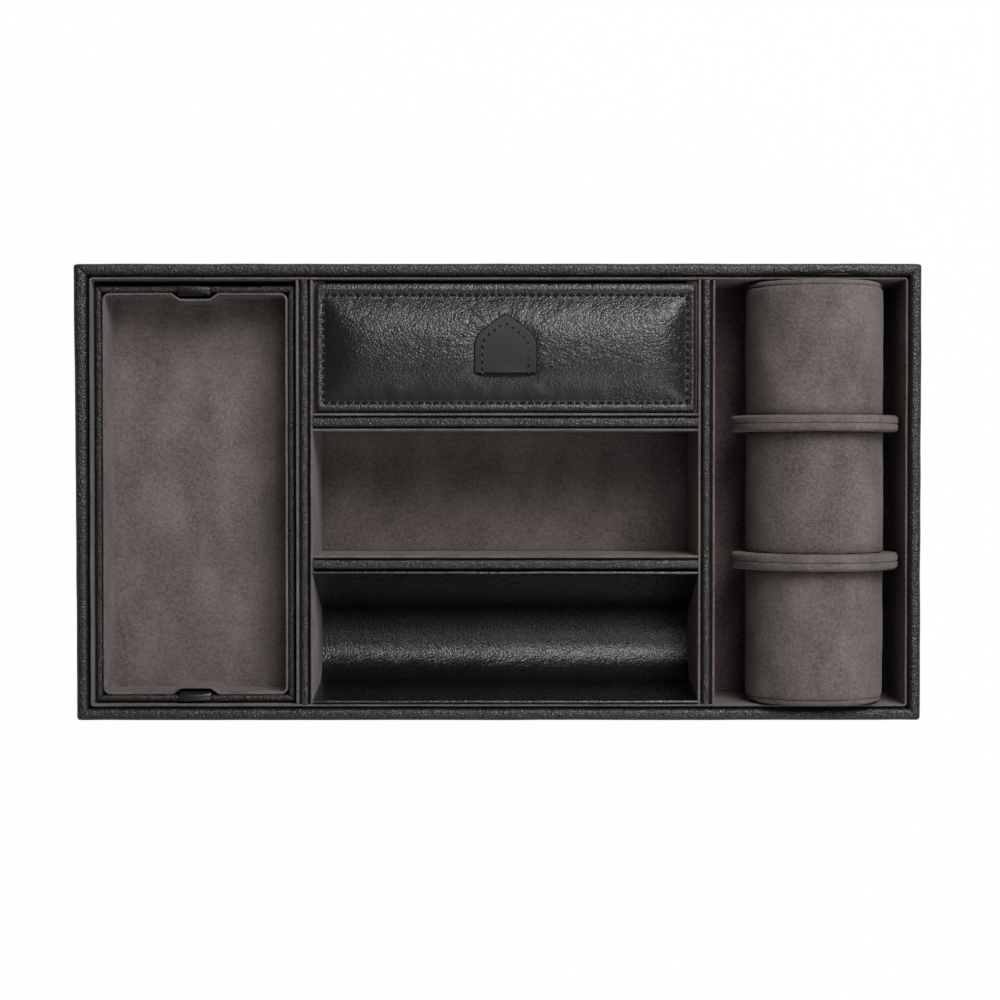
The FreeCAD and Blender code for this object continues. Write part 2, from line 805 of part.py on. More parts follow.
def add_crown(body, name, low, high, bottom, height, inset, cut=False):
    """A cushion's crown over a rectangle: rounded sections that follow a quarter ellipse to a flat top."""
    sections = []
    for step in range(CROWN_STEPS + 1):
        angle = math.pi / 2 * step / CROWN_STEPS
        draw_in = inset * (1 - math.cos(angle))
        rise = bottom + height * math.sin(angle)
        sketch = new_sketch(body, f"{name}_section_{step}", height=rise)
        draw_rounded_rectangle(sketch, low[0] + draw_in, high[0] - draw_in, low[1] + draw_in,
                               high[1] - draw_in, size.lid_crown_corner)
        sections.append(sketch)
    doc.recompute()
    kind = "PartDesign::SubtractiveLoft" if cut else "PartDesign::AdditiveLoft"
    loft = body.newObject(kind, f"{body.Label}_{name}")
    loft.Profile = sections[0]
    loft.Sections = sections[1:]
    doc.recompute()
    return loft


def build_lid():
    """Everything here stands in the lid's own frame: its centre in plan, zero height at its underside."""
    half_x = (centre_high_x - centre_low_x) / 2 - size.lid_side_gap
    half_y = (size.lid_bay - size.lid_front_gap - size.lid_back_gap) / 2
    skin = size.lid_skin
    centre_lid_y = lid_bay_low_y + size.lid_front_gap + half_y
    flange_top = size.lid_board + skin
    crown_low = (size.lid_margin_side - half_x, size.lid_margin_front - half_y)
    crown_high = (half_x - size.lid_margin_side, half_y - size.lid_margin_back)
    foam_low = tuple(value + skin for value in crown_low)
    foam_high = tuple(value - skin for value in crown_high)

    def seat(piece, z=ZERO):
        place(piece, centre_x, centre_lid_y, lid_bottom + z)

    leather = new_body("lid_leather")
    flange = new_sketch(leather, "flange")
    draw_rounded_rectangle(flange, -half_x, half_x, -half_y, half_y, size.lid_corner)
    add_pad(leather, "edge", flange, flange_top)
    add_fillet(leather, "edge_round", at_height(flange_top), size.lid_edge)
    add_crown(leather, "crown", crown_low, crown_high, flange_top, size.lid_crown, size.lid_crown_inset)
    recess = new_sketch(leather, "board_recess")
    draw_polygon(recess, rectangle(skin - half_x, half_x - skin, skin - half_y, half_y - skin))
    add_pocket_up(leather, "board_space", recess, size.lid_board)
    add_crown(leather, "foam_space", foam_low, foam_high, size.lid_board, size.lid_crown,
              size.lid_crown_inset, cut=True)
    seat(leather)
    pieces.append(leather)

    foam = new_body("lid_foam")
    gap = size.tab_gap
    low = tuple(value + gap for value in foam_low)
    high = tuple(value - gap for value in foam_high)
    add_crown(foam, "crown", low, high, size.lid_board, size.lid_crown - gap, size.lid_crown_inset)
    seat(foam)
    pieces.append(foam)

    board = new_body("lid_board")
    outline = new_sketch(board, "outline")
    draw_polygon(outline, rectangle(skin - half_x, half_x - skin, skin - half_y, half_y - skin))
    add_pad(board, "thickness", outline, size.lid_board)
    seat(board)
    pieces.append(board)

    lining = new_body("lid_lining")
    inset = size.lid_lining_inset
    under = new_sketch(lining, "outline")
    draw_rounded_rectangle(under, inset - half_x, half_x - inset, inset - half_y, half_y - inset,
                           size.lid_corner)
    add_pad(lining, "thickness", under, size.lid_lining)
    add_fillet(lining, "edge_round", at_height(ZERO), size.lid_lining / 2)
    seat(lining, z=-size.lid_lining)
    pieces.append(lining)

    levels = []
    for name, lift in (("top", size.tab_gap + size.tab_thick), ("bottom", size.tab_gap)):
        level = new_body(f"lid_tab_{name}")
        add_crown(level, "crown", crown_low, crown_high, flange_top, size.lid_crown, size.lid_crown_inset)
        seat(level, z=lift)
        levels.append(level)
    sheet = combine("Part::Cut", "lid_tab_sheet", *levels, keep=False)
    outline = add_tab_outline(flange_top + size.lid_crown * 2)
    seat(outline)
    combine("Part::Common", "lid_tab", sheet, outline)


def add_tab_outline(height):
    """A pointed arch: two straight sides that turn over round shoulders and slope up to the tip."""
    body = new_body("lid_tab_outline")
    sketch = new_sketch(body, "arch")
    half = size.tab_width / 2
    front = -size.tab_front
    shoulder = front + size.tab_side
    tip = shoulder + size.tab_rise
    draw_pointed_arch(sketch, half, front, shoulder, tip, size.tab_shoulder)
    add_pad(body, "height", sketch, height)
    return body


def draw_pointed_arch(sketch, half, front, shoulder, tip, radius):
    """Each shoulder is an arc between its straight side and its slope, tangent to both."""
    centre = (half - radius, shoulder)
    rise = tip.value - shoulder.value
    reach = math.hypot(centre[0].value, rise)
    turn = math.atan2(centre[0].value, rise) + math.asin(radius.value / reach)
    up = FreeCAD.Vector(0, 0, 1)
    add_line(sketch, (-half, front), (half, front))
    fix_point(sketch, 0, 1, (-half, front))
    fix_point(sketch, 0, 2, (half, front))
    slopes = []
    for sign, start, end in ((1, 0, turn), (-1, math.pi - turn, math.pi)):
        side = add_line(sketch, (half * sign, front), (half * sign, shoulder))
        heart = FreeCAD.Vector(centre[0].value * sign, shoulder.value, 0)
        arc = sketch.addGeometry(Part.ArcOfCircle(Part.Circle(heart, up, radius.value), start, end))
        low, high = (1, 2) if sign > 0 else (2, 1)
        slope = sketch.addGeometry(Part.LineSegment(sketch.getPoint(arc, high), vector((ZERO, tip))))
        fix_point(sketch, side, 2, (half * sign, shoulder))
        fix_length(sketch, "Radius", arc, radius)
        sketch.addConstraint(Sketcher.Constraint("Coincident", side, 1, 0, 2 if sign > 0 else 1))
        sketch.addConstraint(Sketcher.Constraint("Tangent", side, 2, arc, low))
        sketch.addConstraint(Sketcher.Constraint("Tangent", arc, high, slope, 1))
        slopes.append(slope)
    fix_point(sketch, slopes[0], 2, (ZERO, tip))
    sketch.addConstraint(Sketcher.Constraint("Coincident", slopes[0], 2, slopes[1], 2))


# Watch cuff

cuff_x = inner_x - size.cuff_side_gap - size.cuff_flange_radius
cuff_z = floor_top + size.cuff_floor_gap + size.cuff_flange_radius
cuff_half = inner_y - size.cuff_end_gap
cuff_end_sleeve = (cuff_half - size.cuff_end_disc - size.cuff_flange_disc * 2
                   - size.cuff_middle_sleeve / 2)


def add_turned(label, points, start, rounding=None, swell=None):
    """A piece turned about the cuff's long axis from (radius, distance along) points.

    With swell, the edge between the second and third points is an arc that stands proud by that much.
    """
    body = new_body(label)
    sketch = new_sketch(body, "profile")
    if swell:
        draw_swollen_profile(sketch, points, swell)
    else:
        draw_polygon(sketch, points)
    turned = body.newObject("PartDesign::Revolution", f"{label}_turned")
    turned.Profile = sketch
    turned.ReferenceAxis = (sketch, ["V_Axis"])
    turned.Angle = 360
    doc.recompute()
    if rounding:
        chosen, radius = rounding
        add_fillet(body, "edges", chosen, radius)
    place(body, cuff_x, start, cuff_z)
    pieces.append(body)


def draw_swollen_profile(sketch, points, swell):
    low, outer_low, outer_high, high = points
    run = outer_high[1] - outer_low[1]
    middle = FreeCAD.Vector((outer_low[0] + swell).value, (outer_low[1] + run / 2).value, 0)
    arc = sketch.addGeometry(Part.Arc(vector(outer_low), middle, vector(outer_high)))
    forward = abs(sketch.getPoint(arc, 1).y - outer_low[1].value) < 1e-6
    arc_low, arc_high = (1, 2) if forward else (2, 1)
    top = add_line(sketch, outer_high, high)
    side = add_line(sketch, high, low)
    bottom = add_line(sketch, low, outer_low)
    sketch.addConstraint(Sketcher.Constraint("Coincident", arc, arc_high, top, 1))
    sketch.addConstraint(Sketcher.Constraint("Coincident", top, 2, side, 1))
    sketch.addConstraint(Sketcher.Constraint("Coincident", side, 2, bottom, 1))
    sketch.addConstraint(Sketcher.Constraint("Coincident", bottom, 2, arc, arc_low))
    for geometry, position, point in ((top, 1, outer_high), (side, 1, high), (bottom, 1, low),
                                      (bottom, 2, outer_low)):
        fix_point(sketch, geometry, position, point)
    half_run = run / 2
    radius = (half_run * half_run + swell * swell) / (swell * 2)
    fix_length(sketch, "Radius", arc, radius)


def build_cuff():
    """One card tube carries three padded sleeves, two pairs of flange discs and two end discs."""
    disc, tube = size.cuff_flange_disc, size.cuff_tube_radius
    bore = tube + size.cuff_tube_gap
    tube_half = cuff_half - size.cuff_end_disc
    inside = tube - size.cuff_tube_wall
    add_turned("cuff_tube", rectangle(inside, tube, ZERO, tube_half * 2), -tube_half)
    middle_half = size.cuff_middle_sleeve / 2
    sleeves = {
        "front": (-tube_half, cuff_end_sleeve),
        "middle": (-middle_half, size.cuff_middle_sleeve),
        "rear": (middle_half + disc * 2, cuff_end_sleeve),
    }
    radius = size.cuff_radius - size.cuff_sleeve_swell
    for name, (start, length) in sleeves.items():
        profile = [(bore, ZERO), (radius, ZERO), (radius, length), (bore, length)]
        add_turned(f"cuff_sleeve_{name}", profile, start, (outer_circles(radius), size.cuff_sleeve_edge),
                   size.cuff_sleeve_swell)
    starts = {
        "front_outer": -(middle_half + disc * 2),
        "front_inner": -(middle_half + disc),
        "rear_inner": middle_half,
        "rear_outer": middle_half + disc,
    }
    flange = size.cuff_flange_radius
    for name, start in starts.items():
        add_turned(f"cuff_flange_{name}", rectangle(bore, flange, ZERO, disc), start,
                   (outer_circles(flange), size.cuff_disc_edge))
    end = size.cuff_end_disc
    for name, start in (("front", -cuff_half), ("rear", cuff_half - end)):
        add_turned(f"cuff_end_{name}", rectangle(ZERO, radius, ZERO, end), start,
                   (outer_circles(radius), size.cuff_disc_edge))


def write_pieces():
    """Checks every object of the document, then writes one file for each piece."""
    doc.recompute()
    faults = [thing.Label for thing in doc.Objects if {"Invalid", "Error"} & set(thing.State)]
    assert not faults, f"failed objects: {faults}"
    os.makedirs("parts", exist_ok=True)
    for piece in pieces:
        shape = piece.Shape
        assert not shape.isNull() and shape.isValid() and shape.Solids, f"{piece.Label} has no sound solid"
    for piece in pieces:
        piece.Shape.exportStep(os.path.join("parts", f"{piece.Label}.step"))
    print(f"{len(pieces)} pieces written")


build_base()
build_frame()
build_frame_lining()
build_dividers()
build_floor_pads()
build_trough()
build_ledges()
build_insert()
build_lid()
build_cuff()
write_pieces()
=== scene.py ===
"""The looks of a valet tray: a leather-wrapped case with suede bays, a lift-out tray, a lid and a cuff.

Lengths are in metres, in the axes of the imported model: +X to the right, +Y to the back and +Z up.
"""

import json
import logging
import math
from collections.abc import Callable, Iterable, Sequence
from dataclasses import dataclass, field
from enum import Enum
from functools import cache
from typing import Any

import bmesh
import bpy
from mathutils import Matrix, Vector, noise

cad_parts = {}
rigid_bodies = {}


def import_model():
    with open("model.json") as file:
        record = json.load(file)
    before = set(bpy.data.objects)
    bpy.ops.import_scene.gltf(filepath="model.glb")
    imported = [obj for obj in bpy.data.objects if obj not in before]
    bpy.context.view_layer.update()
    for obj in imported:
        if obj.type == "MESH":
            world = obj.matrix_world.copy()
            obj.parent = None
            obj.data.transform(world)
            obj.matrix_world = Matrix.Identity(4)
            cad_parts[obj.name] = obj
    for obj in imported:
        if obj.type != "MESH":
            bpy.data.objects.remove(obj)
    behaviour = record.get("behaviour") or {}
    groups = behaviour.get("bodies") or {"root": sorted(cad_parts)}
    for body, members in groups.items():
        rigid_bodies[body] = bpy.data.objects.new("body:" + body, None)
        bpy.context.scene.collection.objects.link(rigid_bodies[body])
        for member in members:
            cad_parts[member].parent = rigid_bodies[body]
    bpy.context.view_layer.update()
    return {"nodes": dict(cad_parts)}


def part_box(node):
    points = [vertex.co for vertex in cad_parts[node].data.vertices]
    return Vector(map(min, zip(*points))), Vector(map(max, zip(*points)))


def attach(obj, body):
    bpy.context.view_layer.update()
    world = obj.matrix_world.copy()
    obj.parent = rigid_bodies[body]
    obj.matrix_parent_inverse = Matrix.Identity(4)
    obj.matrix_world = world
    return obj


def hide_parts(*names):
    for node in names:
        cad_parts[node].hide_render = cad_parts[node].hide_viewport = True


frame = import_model()

LOG = logging.getLogger("valet_tray")
MM = 0.001
UP = Vector((0.0, 0.0, 1.0))

Outline = list[tuple[float, float]]
Colour = tuple[float, float, float]


class Body(Enum):
    """The bodies that pieces ride on."""

    CASE = "case"
    TRAY = "insert_tray"
    LID = "lid"
    CUFF = "cuff_roll"


class Slot(Enum):
    """The record's material slots."""

    LEATHER = "leather"
    SUEDE = "suede"
    BOARD = "board"
    CARD = "card"
    FOAM = "foam"
    FELT = "base_felt"


class Side(Enum):
    """The four sides of a box, each with the way it faces."""

    FRONT = (0.0, -1.0)
    BACK = (0.0, 1.0)
    LEFT = (-1.0, 0.0)
    RIGHT = (1.0, 0.0)

    @property
    def outward(self) -> Vector:
        """The way this side faces."""
        return Vector((*self.value, 0.0))

    @property
    def along(self) -> Vector:
        """The way this side runs, anticlockwise as seen from above."""
        return UP.cross(self.outward)

    @property
    def label(self) -> str:
        """The side's name as the CAD nodes write it."""
        return self.name.lower()


@dataclass(frozen=True)
class Extent:
    """The upright box that one or more CAD nodes fill at rest."""

    low: Vector
    high: Vector

    @classmethod
    def of(cls, *nodes: str) -> "Extent":
        """Reads the box round some CAD nodes.

        Args:
            nodes: The nodes' names.

        Returns:
            Their box.
        """
        boxes = [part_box(node) for node in nodes]
        low = Vector([min(box[0][axis] for box in boxes) for axis in range(3)])
        high = Vector([max(box[1][axis] for box in boxes) for axis in range(3)])
        return cls(low, high)

    def widened(self, reach: float) -> "Extent":
        """The same box, grown in plan on all sides."""
        step = Vector((reach, reach, 0.0))
        return Extent(self.low - step, self.high + step)

    @property
    def centre(self) -> Vector:
        """The box's middle."""
        return (self.low + self.high) / 2

    @property
    def half(self) -> Vector:
        """Half of the box's size along each axis."""
        return (self.high - self.low) / 2


# Shaders


class Wire:
    """A shader socket that takes arithmetic: each operator adds its Math node."""

    def __init__(self, shader: "Shader", socket: bpy.types.NodeSocket) -> None:
        """Wraps a socket.

        Args:
            shader: The material that the socket belongs to.
            socket: The output socket.
        """
        self.shader = shader
        self.socket = socket

    def _math(self, operation: str, first: "Wire | float", second: "Wire | float") -> "Wire":
        """Adds a Math node and returns its result."""
        return self.shader.node("ShaderNodeMath", {"operation": operation}, {0: first, 1: second})

    def __add__(self, other: "Wire | float") -> "Wire":
        """This value plus another."""
        return self._math("ADD", self, other)

    def __sub__(self, other: "Wire | float") -> "Wire":
        """This value less another."""
        return self._math("SUBTRACT", self, other)

    def __rsub__(self, other: float) -> "Wire":
        """A number less this value."""
        return self._math("SUBTRACT", other, self)

    def __mul__(self, other: "Wire | float") -> "Wire":
        """This value times another."""
        return self._math("MULTIPLY", self, other)

    def __pow__(self, power: float) -> "Wire":
        """This value to a power."""
        return self._math("POWER", self, power)

    __radd__ = __add__
    __rmul__ = __mul__


class Shader:
    """The node tree of a material or of a world."""

    def __init__(self, owner: bpy.types.Material | bpy.types.World) -> None:
        """Empties the owner's node tree.

        Args:
            owner: The new material or world.
        """
        self.owner = owner
        owner.use_nodes = True
        self.tree = owner.node_tree
        self.tree.nodes.clear()

    def node(
        self,
        kind: str,
        settings: dict[str, Any] | None = None,
        inputs: dict[str | int, Any] | None = None,
        output: str | int = 0,
    ) -> Wire | None:
        """Adds a node.

        Args:
            kind: The node's type.
            settings: Its properties, set before its sockets. "stops" holds a colour ramp's stops.
            inputs: A value or a Wire for each socket, by name or number.
            output: The socket to return.

        Returns:
            The chosen output, or None for a node that ends a tree.
        """
        made = self.tree.nodes.new(kind)
        for name, value in (settings or {}).items():
            if name == "stops":
                self._set_stops(made.color_ramp, value)
            else:
                setattr(made, name, value)
        for name, value in (inputs or {}).items():
            if isinstance(value, Wire):
                self.tree.links.new(value.socket, made.inputs[name])
            else:
                made.inputs[name].default_value = value
        return Wire(self, made.outputs[output]) if made.outputs else None

    @staticmethod
    def _set_stops(ramp: bpy.types.ColorRamp, stops: Sequence[tuple[float, float]]) -> None:
        """Sets a grey ramp's stops from (position, level) pairs."""
        while len(ramp.elements) < len(stops):
            ramp.elements.new(1.0)
        for element, (position, level) in zip(ramp.elements, stops):
            element.position = position
            element.color = (level, level, level, 1.0)

    def place(self, shift: Sequence[float] = (0, 0, 0), stretch: Sequence[float] = (1, 1, 1),
              turn: Sequence[float] = (0, 0, 0)) -> Wire:
        """Object coordinates, moved, turned and scaled.

        Args:
            shift: How far the pattern moves.
            stretch: The scale along each axis.
            turn: The turn about each axis, in radians.

        Returns:
            The coordinates.
        """
        position = self.node("ShaderNodeTexCoord", output="Object")
        return self.node("ShaderNodeMapping", None,
                         {"Vector": position, "Location": shift, "Rotation": turn, "Scale": stretch})

    def noise(self, size: float, detail: float = 2.0, at: Wire | None = None,
              output: str | int = 0) -> Wire:
        """Smooth noise.

        Args:
            size: The size of its features.
            detail: How many finer layers it has.
            at: Coordinates, or None for the object's own.
            output: The value (0) or the colour ("Color").

        Returns:
            The noise, about 0.5 on average.
        """
        return self.node("ShaderNodeTexNoise", None,
                         {"Vector": at or self.place(), "Scale": 1 / size, "Detail": detail}, output)

    def cells(self, size: float, at: Wire, feature: str = "DISTANCE_TO_EDGE") -> Wire:
        """How far a point lies inside its cell of a cracked pattern.

        Args:
            size: The cells' size.
            at: Coordinates.
            feature: Which distance is measured.

        Returns:
            The distance, as a share of a cell.
        """
        return self.node("ShaderNodeTexVoronoi", {"feature": feature},
                         {"Vector": at, "Scale": 1 / size})

    def bent(self, at: Wire, amount: float, size: float) -> Wire:
        """Coordinates that wander, so that a pattern on them isn't straight.

        Args:
            at: Coordinates.
            amount: How far they wander.
            size: Over what distance.

        Returns:
            The new coordinates.
        """
        sway = self.noise(size, 1.0, at, "Color")
        centred = self.node("ShaderNodeVectorMath", {"operation": "SUBTRACT"},
                            {0: sway, 1: (0.5, 0.5, 0.5)})
        scaled = self.node("ShaderNodeVectorMath", {"operation": "SCALE"},
                           {0: centred, "Scale": amount})
        return self.node("ShaderNodeVectorMath", {"operation": "ADD"}, {0: at, 1: scaled})

    def ramp(self, value: Wire, *stops: tuple[float, float]) -> Wire:
        """A value sent through (position, level) stops with soft steps between them."""
        return self.node("ShaderNodeValToRGB", {"stops": stops}, {0: value})

    def mix(self, first: Colour | Wire, second: Colour | Wire, share: Wire) -> Wire:
        """A colour between two others."""
        pair = {6: first if isinstance(first, Wire) else (*first, 1.0),
                7: second if isinstance(second, Wire) else (*second, 1.0)}
        return self.node("ShaderNodeMix", {"data_type": "RGBA"}, {0: share, **pair}, 2)

    def attribute(self, name: str) -> Wire:
        """A number painted on the mesh."""
        return self.node("ShaderNodeAttribute", {"attribute_name": name}, output="Fac")

    def bump(self, height: Wire, depth: float, normal: Wire | None = None) -> Wire:
        """A relief of the given depth, on top of another where one is given."""
        under = {"Normal": normal} if normal else {}
        return self.node("ShaderNodeBump", None,
                         {"Height": height, "Distance": depth, "Strength": 1.0, **under})

    def surface(self, colour: Wire, roughness: Wire | float, normal: Wire,
                **constants: float) -> bpy.types.Material:
        """Finishes the material.

        Args:
            colour: The base colour.
            roughness: The roughness.
            normal: The bumped normal.
            constants: Other Principled sockets that are the same all over, with _ for spaces.

        Returns:
            The material.
        """
        inputs = {name.replace("_", " "): value for name, value in constants.items()}
        shader = self.node("ShaderNodeBsdfPrincipled", None, {
            "Base Color": colour, "Roughness": roughness, "Normal": normal, **inputs})
        self.node("ShaderNodeOutputMaterial", None, {"Surface": shader})
        return self.owner


def shade(colour: Colour, level: float) -> Colour:
    """A colour made lighter or darker."""
    return tuple(channel * level for channel in colour)


@dataclass(frozen=True)
class Finish:
    """What every finish has: a name and the slot it belongs to."""

    name: str
    slot: Slot

    def material(self) -> bpy.types.Material:
        """The finish's material, made once."""
        return made_material(self)

    def build(self, shader: Shader) -> bpy.types.Material:
        """Fills in the shader."""
        raise NotImplementedError


@cache
def made_material(finish: Finish) -> bpy.types.Material:
    """Makes a finish's material the first time it is asked for."""
    return finish.build(Shader(bpy.data.materials.new(finish.name)))


DOME = ((0.0, 0.0), (0.12, 0.4), (0.3, 0.78), (0.55, 1.0))
FOLD = ((0.36, 1.0), (0.5, 0.0), (0.64, 1.0))


@dataclass(frozen=True)
class PebbledLeather(Finish):
    """Black leather with a pebbled grain and a soft sheen."""

    colour: Colour = (0.0135, 0.0134, 0.0126)
    roughness: float = 0.41
    pebble: float = 1.4 * MM
    relief: float = 0.23 * MM
    smooth_patches: float = 0.35
    specular: float = 0.66
    # How dark the creases between the pebbles are painted, as painted shade, against the leather's colour.
    crease_tone: float = 0.3
    crease_gloss: float = 0.08
    stretch: tuple[float, float, float] = (1.0, 1.0, 1.0)

    def build(self, shader: Shader) -> bpy.types.Material:
        """Fills in the shader: rounded pebbles between fine creases, finer wrinkles and lighter worn patches, with
        painted shade in the creases and a painted highlight on the pebble tops.
        """
        grain = shader.bent(shader.place(stretch=self.stretch), self.pebble * 1.4, self.pebble * 2.6)
        pebbles = shader.ramp(shader.cells(self.pebble, grain), *DOME)
        fine = shader.ramp(shader.cells(self.pebble * 0.45, grain), *DOME)
        patches = shader.ramp(shader.noise(9 * MM, 2.0), (0.3, 1.0), (0.75, 1 - self.smooth_patches))
        wrinkles = shader.noise(self.pebble * 3.2, 3.0)
        folds = shader.ramp(shader.noise(self.pebble * 2.2, 2.0, grain), *FOLD)
        height = pebbles * patches * 0.8 + fine * 0.12 + wrinkles * 0.8 + folds * 0.4
        # Painted shade and highlight: the colour is darkened in the creases between the pebbles and lightened on
        # their tops.
        shaded_grain = shader.mix(shade(self.colour, self.crease_tone), shade(self.colour, 1.2), pebbles)
        worn = shader.ramp(shader.noise(34 * MM, 3.0), (0.35, 0.0), (0.75, 1.0))
        colour = shader.mix(shaded_grain, shade(self.colour, 1.35), worn * 0.35)
        roughness = self.roughness - (1 - pebbles) * self.crease_gloss + worn * 0.03
        return shader.surface(colour, roughness, shader.bump(height, self.relief),
                              Specular_IOR_Level=self.specular)


@dataclass(frozen=True)
class CreasedLeather(PebbledLeather):
    """Stretched leather whose grain runs into creases, and which is smooth where it is painted so."""

    crease: float = 2.4 * MM

    def build(self, shader: Shader) -> bpy.types.Material:
        """Fills in the shader, with the mesh's own "smooth" and "strain" numbers steering the grain."""
        smooth = shader.attribute("smooth")
        strain = shader.attribute("strain")
        grain = shader.bent(shader.place(), self.pebble * 1.2, self.pebble * 2.4)
        pebbles = shader.ramp(shader.cells(self.pebble, grain), *DOME)
        fine = shader.ramp(shader.cells(self.pebble * 0.45, grain), *DOME)
        place = shader.node("ShaderNodeAttribute", {"attribute_name": "drawn"}, output="Vector")
        folded = shader.bent(place, self.crease * 0.5, self.crease * 2.0)
        creases = shader.ramp(shader.cells(self.crease, folded), *DOME)
        rough = 1 - smooth
        folds = shader.ramp(shader.noise(self.pebble * 2.4, 2.0, grain), *FOLD)
        height = (pebbles * 0.75 + fine * 0.1 + folds * 0.55) * (rough * 0.92 + 0.08)
        height = height + creases * strain * 1.4 * rough
        # Painted shade and highlight: the colour is darkened in the creases and lightened on the pebble tops and
        # where the leather is smooth.
        shaded_grain = shader.mix(shade(self.colour, self.crease_tone), shade(self.colour, 1.2),
                          pebbles * rough + smooth * 0.85)
        roughness = self.roughness - (1 - pebbles) * rough * self.crease_gloss
        return shader.surface(shaded_grain, roughness, shader.bump(height, self.relief),
                              Specular_IOR_Level=self.specular)


@dataclass(frozen=True)
class Suede(Finish):
    """Brushed suede: a fine nap with lighter and darker strokes."""

    colour: Colour = (0.150, 0.124, 0.117)
    nap: float = 0.5 * MM
    stroke: float = 15 * MM
    contrast: float = 0.6

    def build(self, shader: Shader) -> bpy.types.Material:
        """Fills in the shader: hairs, specks and brushed patches in the colour and the relief."""
        place = shader.place()
        hairs = shader.ramp(shader.noise(self.nap, 2.0, place), (0.3, 0.0), (0.7, 1.0))
        specks = shader.ramp(shader.noise(self.nap * 3.0, 3.0, place), (0.32, 0.0), (0.68, 1.0))
        brushed = shader.place(stretch=(1.0, 0.55, 0.8), turn=(0.0, 0.0, 0.5))
        strokes = shader.ramp(shader.noise(self.stroke, 4.0, shader.bent(brushed, 6 * MM, 20 * MM)),
                              (0.32, 0.0), (0.68, 1.0))
        level = hairs * 0.5 + specks * 0.3 + strokes * 0.36 - 0.08
        colour = shader.mix(shade(self.colour, 1 - self.contrast), shade(self.colour, 1 + self.contrast),
                            level)
        height = hairs * 0.7 + specks * 0.8 + strokes * 0.5
        return shader.surface(colour, 0.95, shader.bump(height, 0.14 * MM), Sheen_Weight=0.11,
                              Sheen_Roughness=0.5, Specular_IOR_Level=0.1)


@dataclass(frozen=True)
class Plain(Finish):
    """A plain mottled finish for what hides inside: board, card, felt and thread, and the near-black painted shade
    of needle-hole and tab-gap pieces.
    """

    colour: Colour = (0.2, 0.2, 0.2)
    grain: float = 0.8 * MM
    roughness: float = 0.8
    contrast: float = 0.2
    relief: float = 0.05 * MM

    def build(self, shader: Shader) -> bpy.types.Material:
        """Fills in the shader with one noise for colour, roughness and relief."""
        mottle = shader.noise(self.grain, 4.0)
        colour = shader.mix(shade(self.colour, 1 - self.contrast), shade(self.colour, 1 + self.contrast),
                            mottle)
        return shader.surface(colour, self.roughness + mottle * 0.08, shader.bump(mottle, self.relief))


FRAME_LEATHER = PebbledLeather("leather_frame", Slot.LEATHER)
TRAY_LEATHER = PebbledLeather("leather_tray", Slot.LEATHER, pebble=1.3 * MM, relief=0.22 * MM,
                             specular=0.55)
STRAP_LEATHER = PebbledLeather("leather_strap", Slot.LEATHER, colour=(0.008, 0.0078, 0.0076),
                               roughness=0.32, pebble=0.9 * MM, relief=0.03 * MM)
SMOOTH_LEATHER = PebbledLeather("leather_tab", Slot.LEATHER, colour=(0.030, 0.0285, 0.0292),
                                roughness=0.56, pebble=0.7 * MM, relief=0.012 * MM, specular=0.25,
                                crease_tone=0.9, crease_gloss=0.0)
# Its colour is set about four times darker than the frame's leather, which paints in the shade of the sunken
# trough.
TROUGH_LEATHER = PebbledLeather("leather_trough", Slot.LEATHER, colour=(0.0035, 0.0034, 0.0032),
                                roughness=0.27, pebble=1.05 * MM, relief=0.09 * MM,
                                smooth_patches=0.4, specular=0.95, crease_gloss=0.02,
                                stretch=(0.7, 1.0, 1.0))
LID_LEATHER = CreasedLeather("leather_lid", Slot.LEATHER, roughness=0.37, pebble=1.4 * MM,
                            relief=0.15 * MM, specular=0.7, crease_gloss=0.04)
SUEDE = Suede("suede", Slot.SUEDE)
THREAD = Plain("thread", Slot.LEATHER, colour=(0.06, 0.058, 0.055), grain=0.3 * MM, roughness=0.45)
# Near-black, for painted shade: the dark of each needle hole and of the gap round the lid's tab.
PAINTED_SHADE = Plain("needle_hole", Slot.LEATHER, colour=(0.002, 0.002, 0.002), roughness=1.0)
BOARD = Plain("board", Slot.BOARD, colour=(0.36, 0.27, 0.19), grain=1.6 * MM)
CARD = Plain("card", Slot.CARD, colour=(0.38, 0.31, 0.23), grain=1.2 * MM)
FELT = Plain("felt", Slot.FELT, colour=(0.02, 0.02, 0.02), grain=0.5 * MM, roughness=0.95,
             contrast=0.45, relief=0.2 * MM)


# Meshes


def rounded(corners: Sequence[tuple[float, float, float]], steps: int = 6) -> Outline:
    """Rounds the corners of a closed outline.

    Args:
        corners: Each corner in order, as (across, up, radius).
        steps: The number of short edges in a rounded corner.

    Returns:
        The outline's points.
    """
    points: Outline = []
    count = len(corners)
    for index, (x, y, radius) in enumerate(corners):
        here = Vector((x, y))
        before = Vector(corners[index - 1][:2])
        after = Vector(corners[(index + 1) % count][:2])
        back, ahead = (before - here).normalized(), (after - here).normalized()
        half = back.angle(ahead) / 2
        if radius <= 0 or half > math.pi / 2 - 0.01:
            points.append((x, y))
            continue
        reach = radius / math.tan(half)
        centre = here + (back + ahead).normalized() * (radius / math.sin(half))
        start, end = here + back * reach - centre, here + ahead * reach - centre
        first = math.atan2(start.y, start.x)
        swing = math.remainder(math.atan2(end.y, end.x) - first, math.tau)
        for step in range(steps + 1):
            angle = first + swing * step / steps
            points.append((centre.x + radius * math.cos(angle), centre.y + radius * math.sin(angle)))
    return points


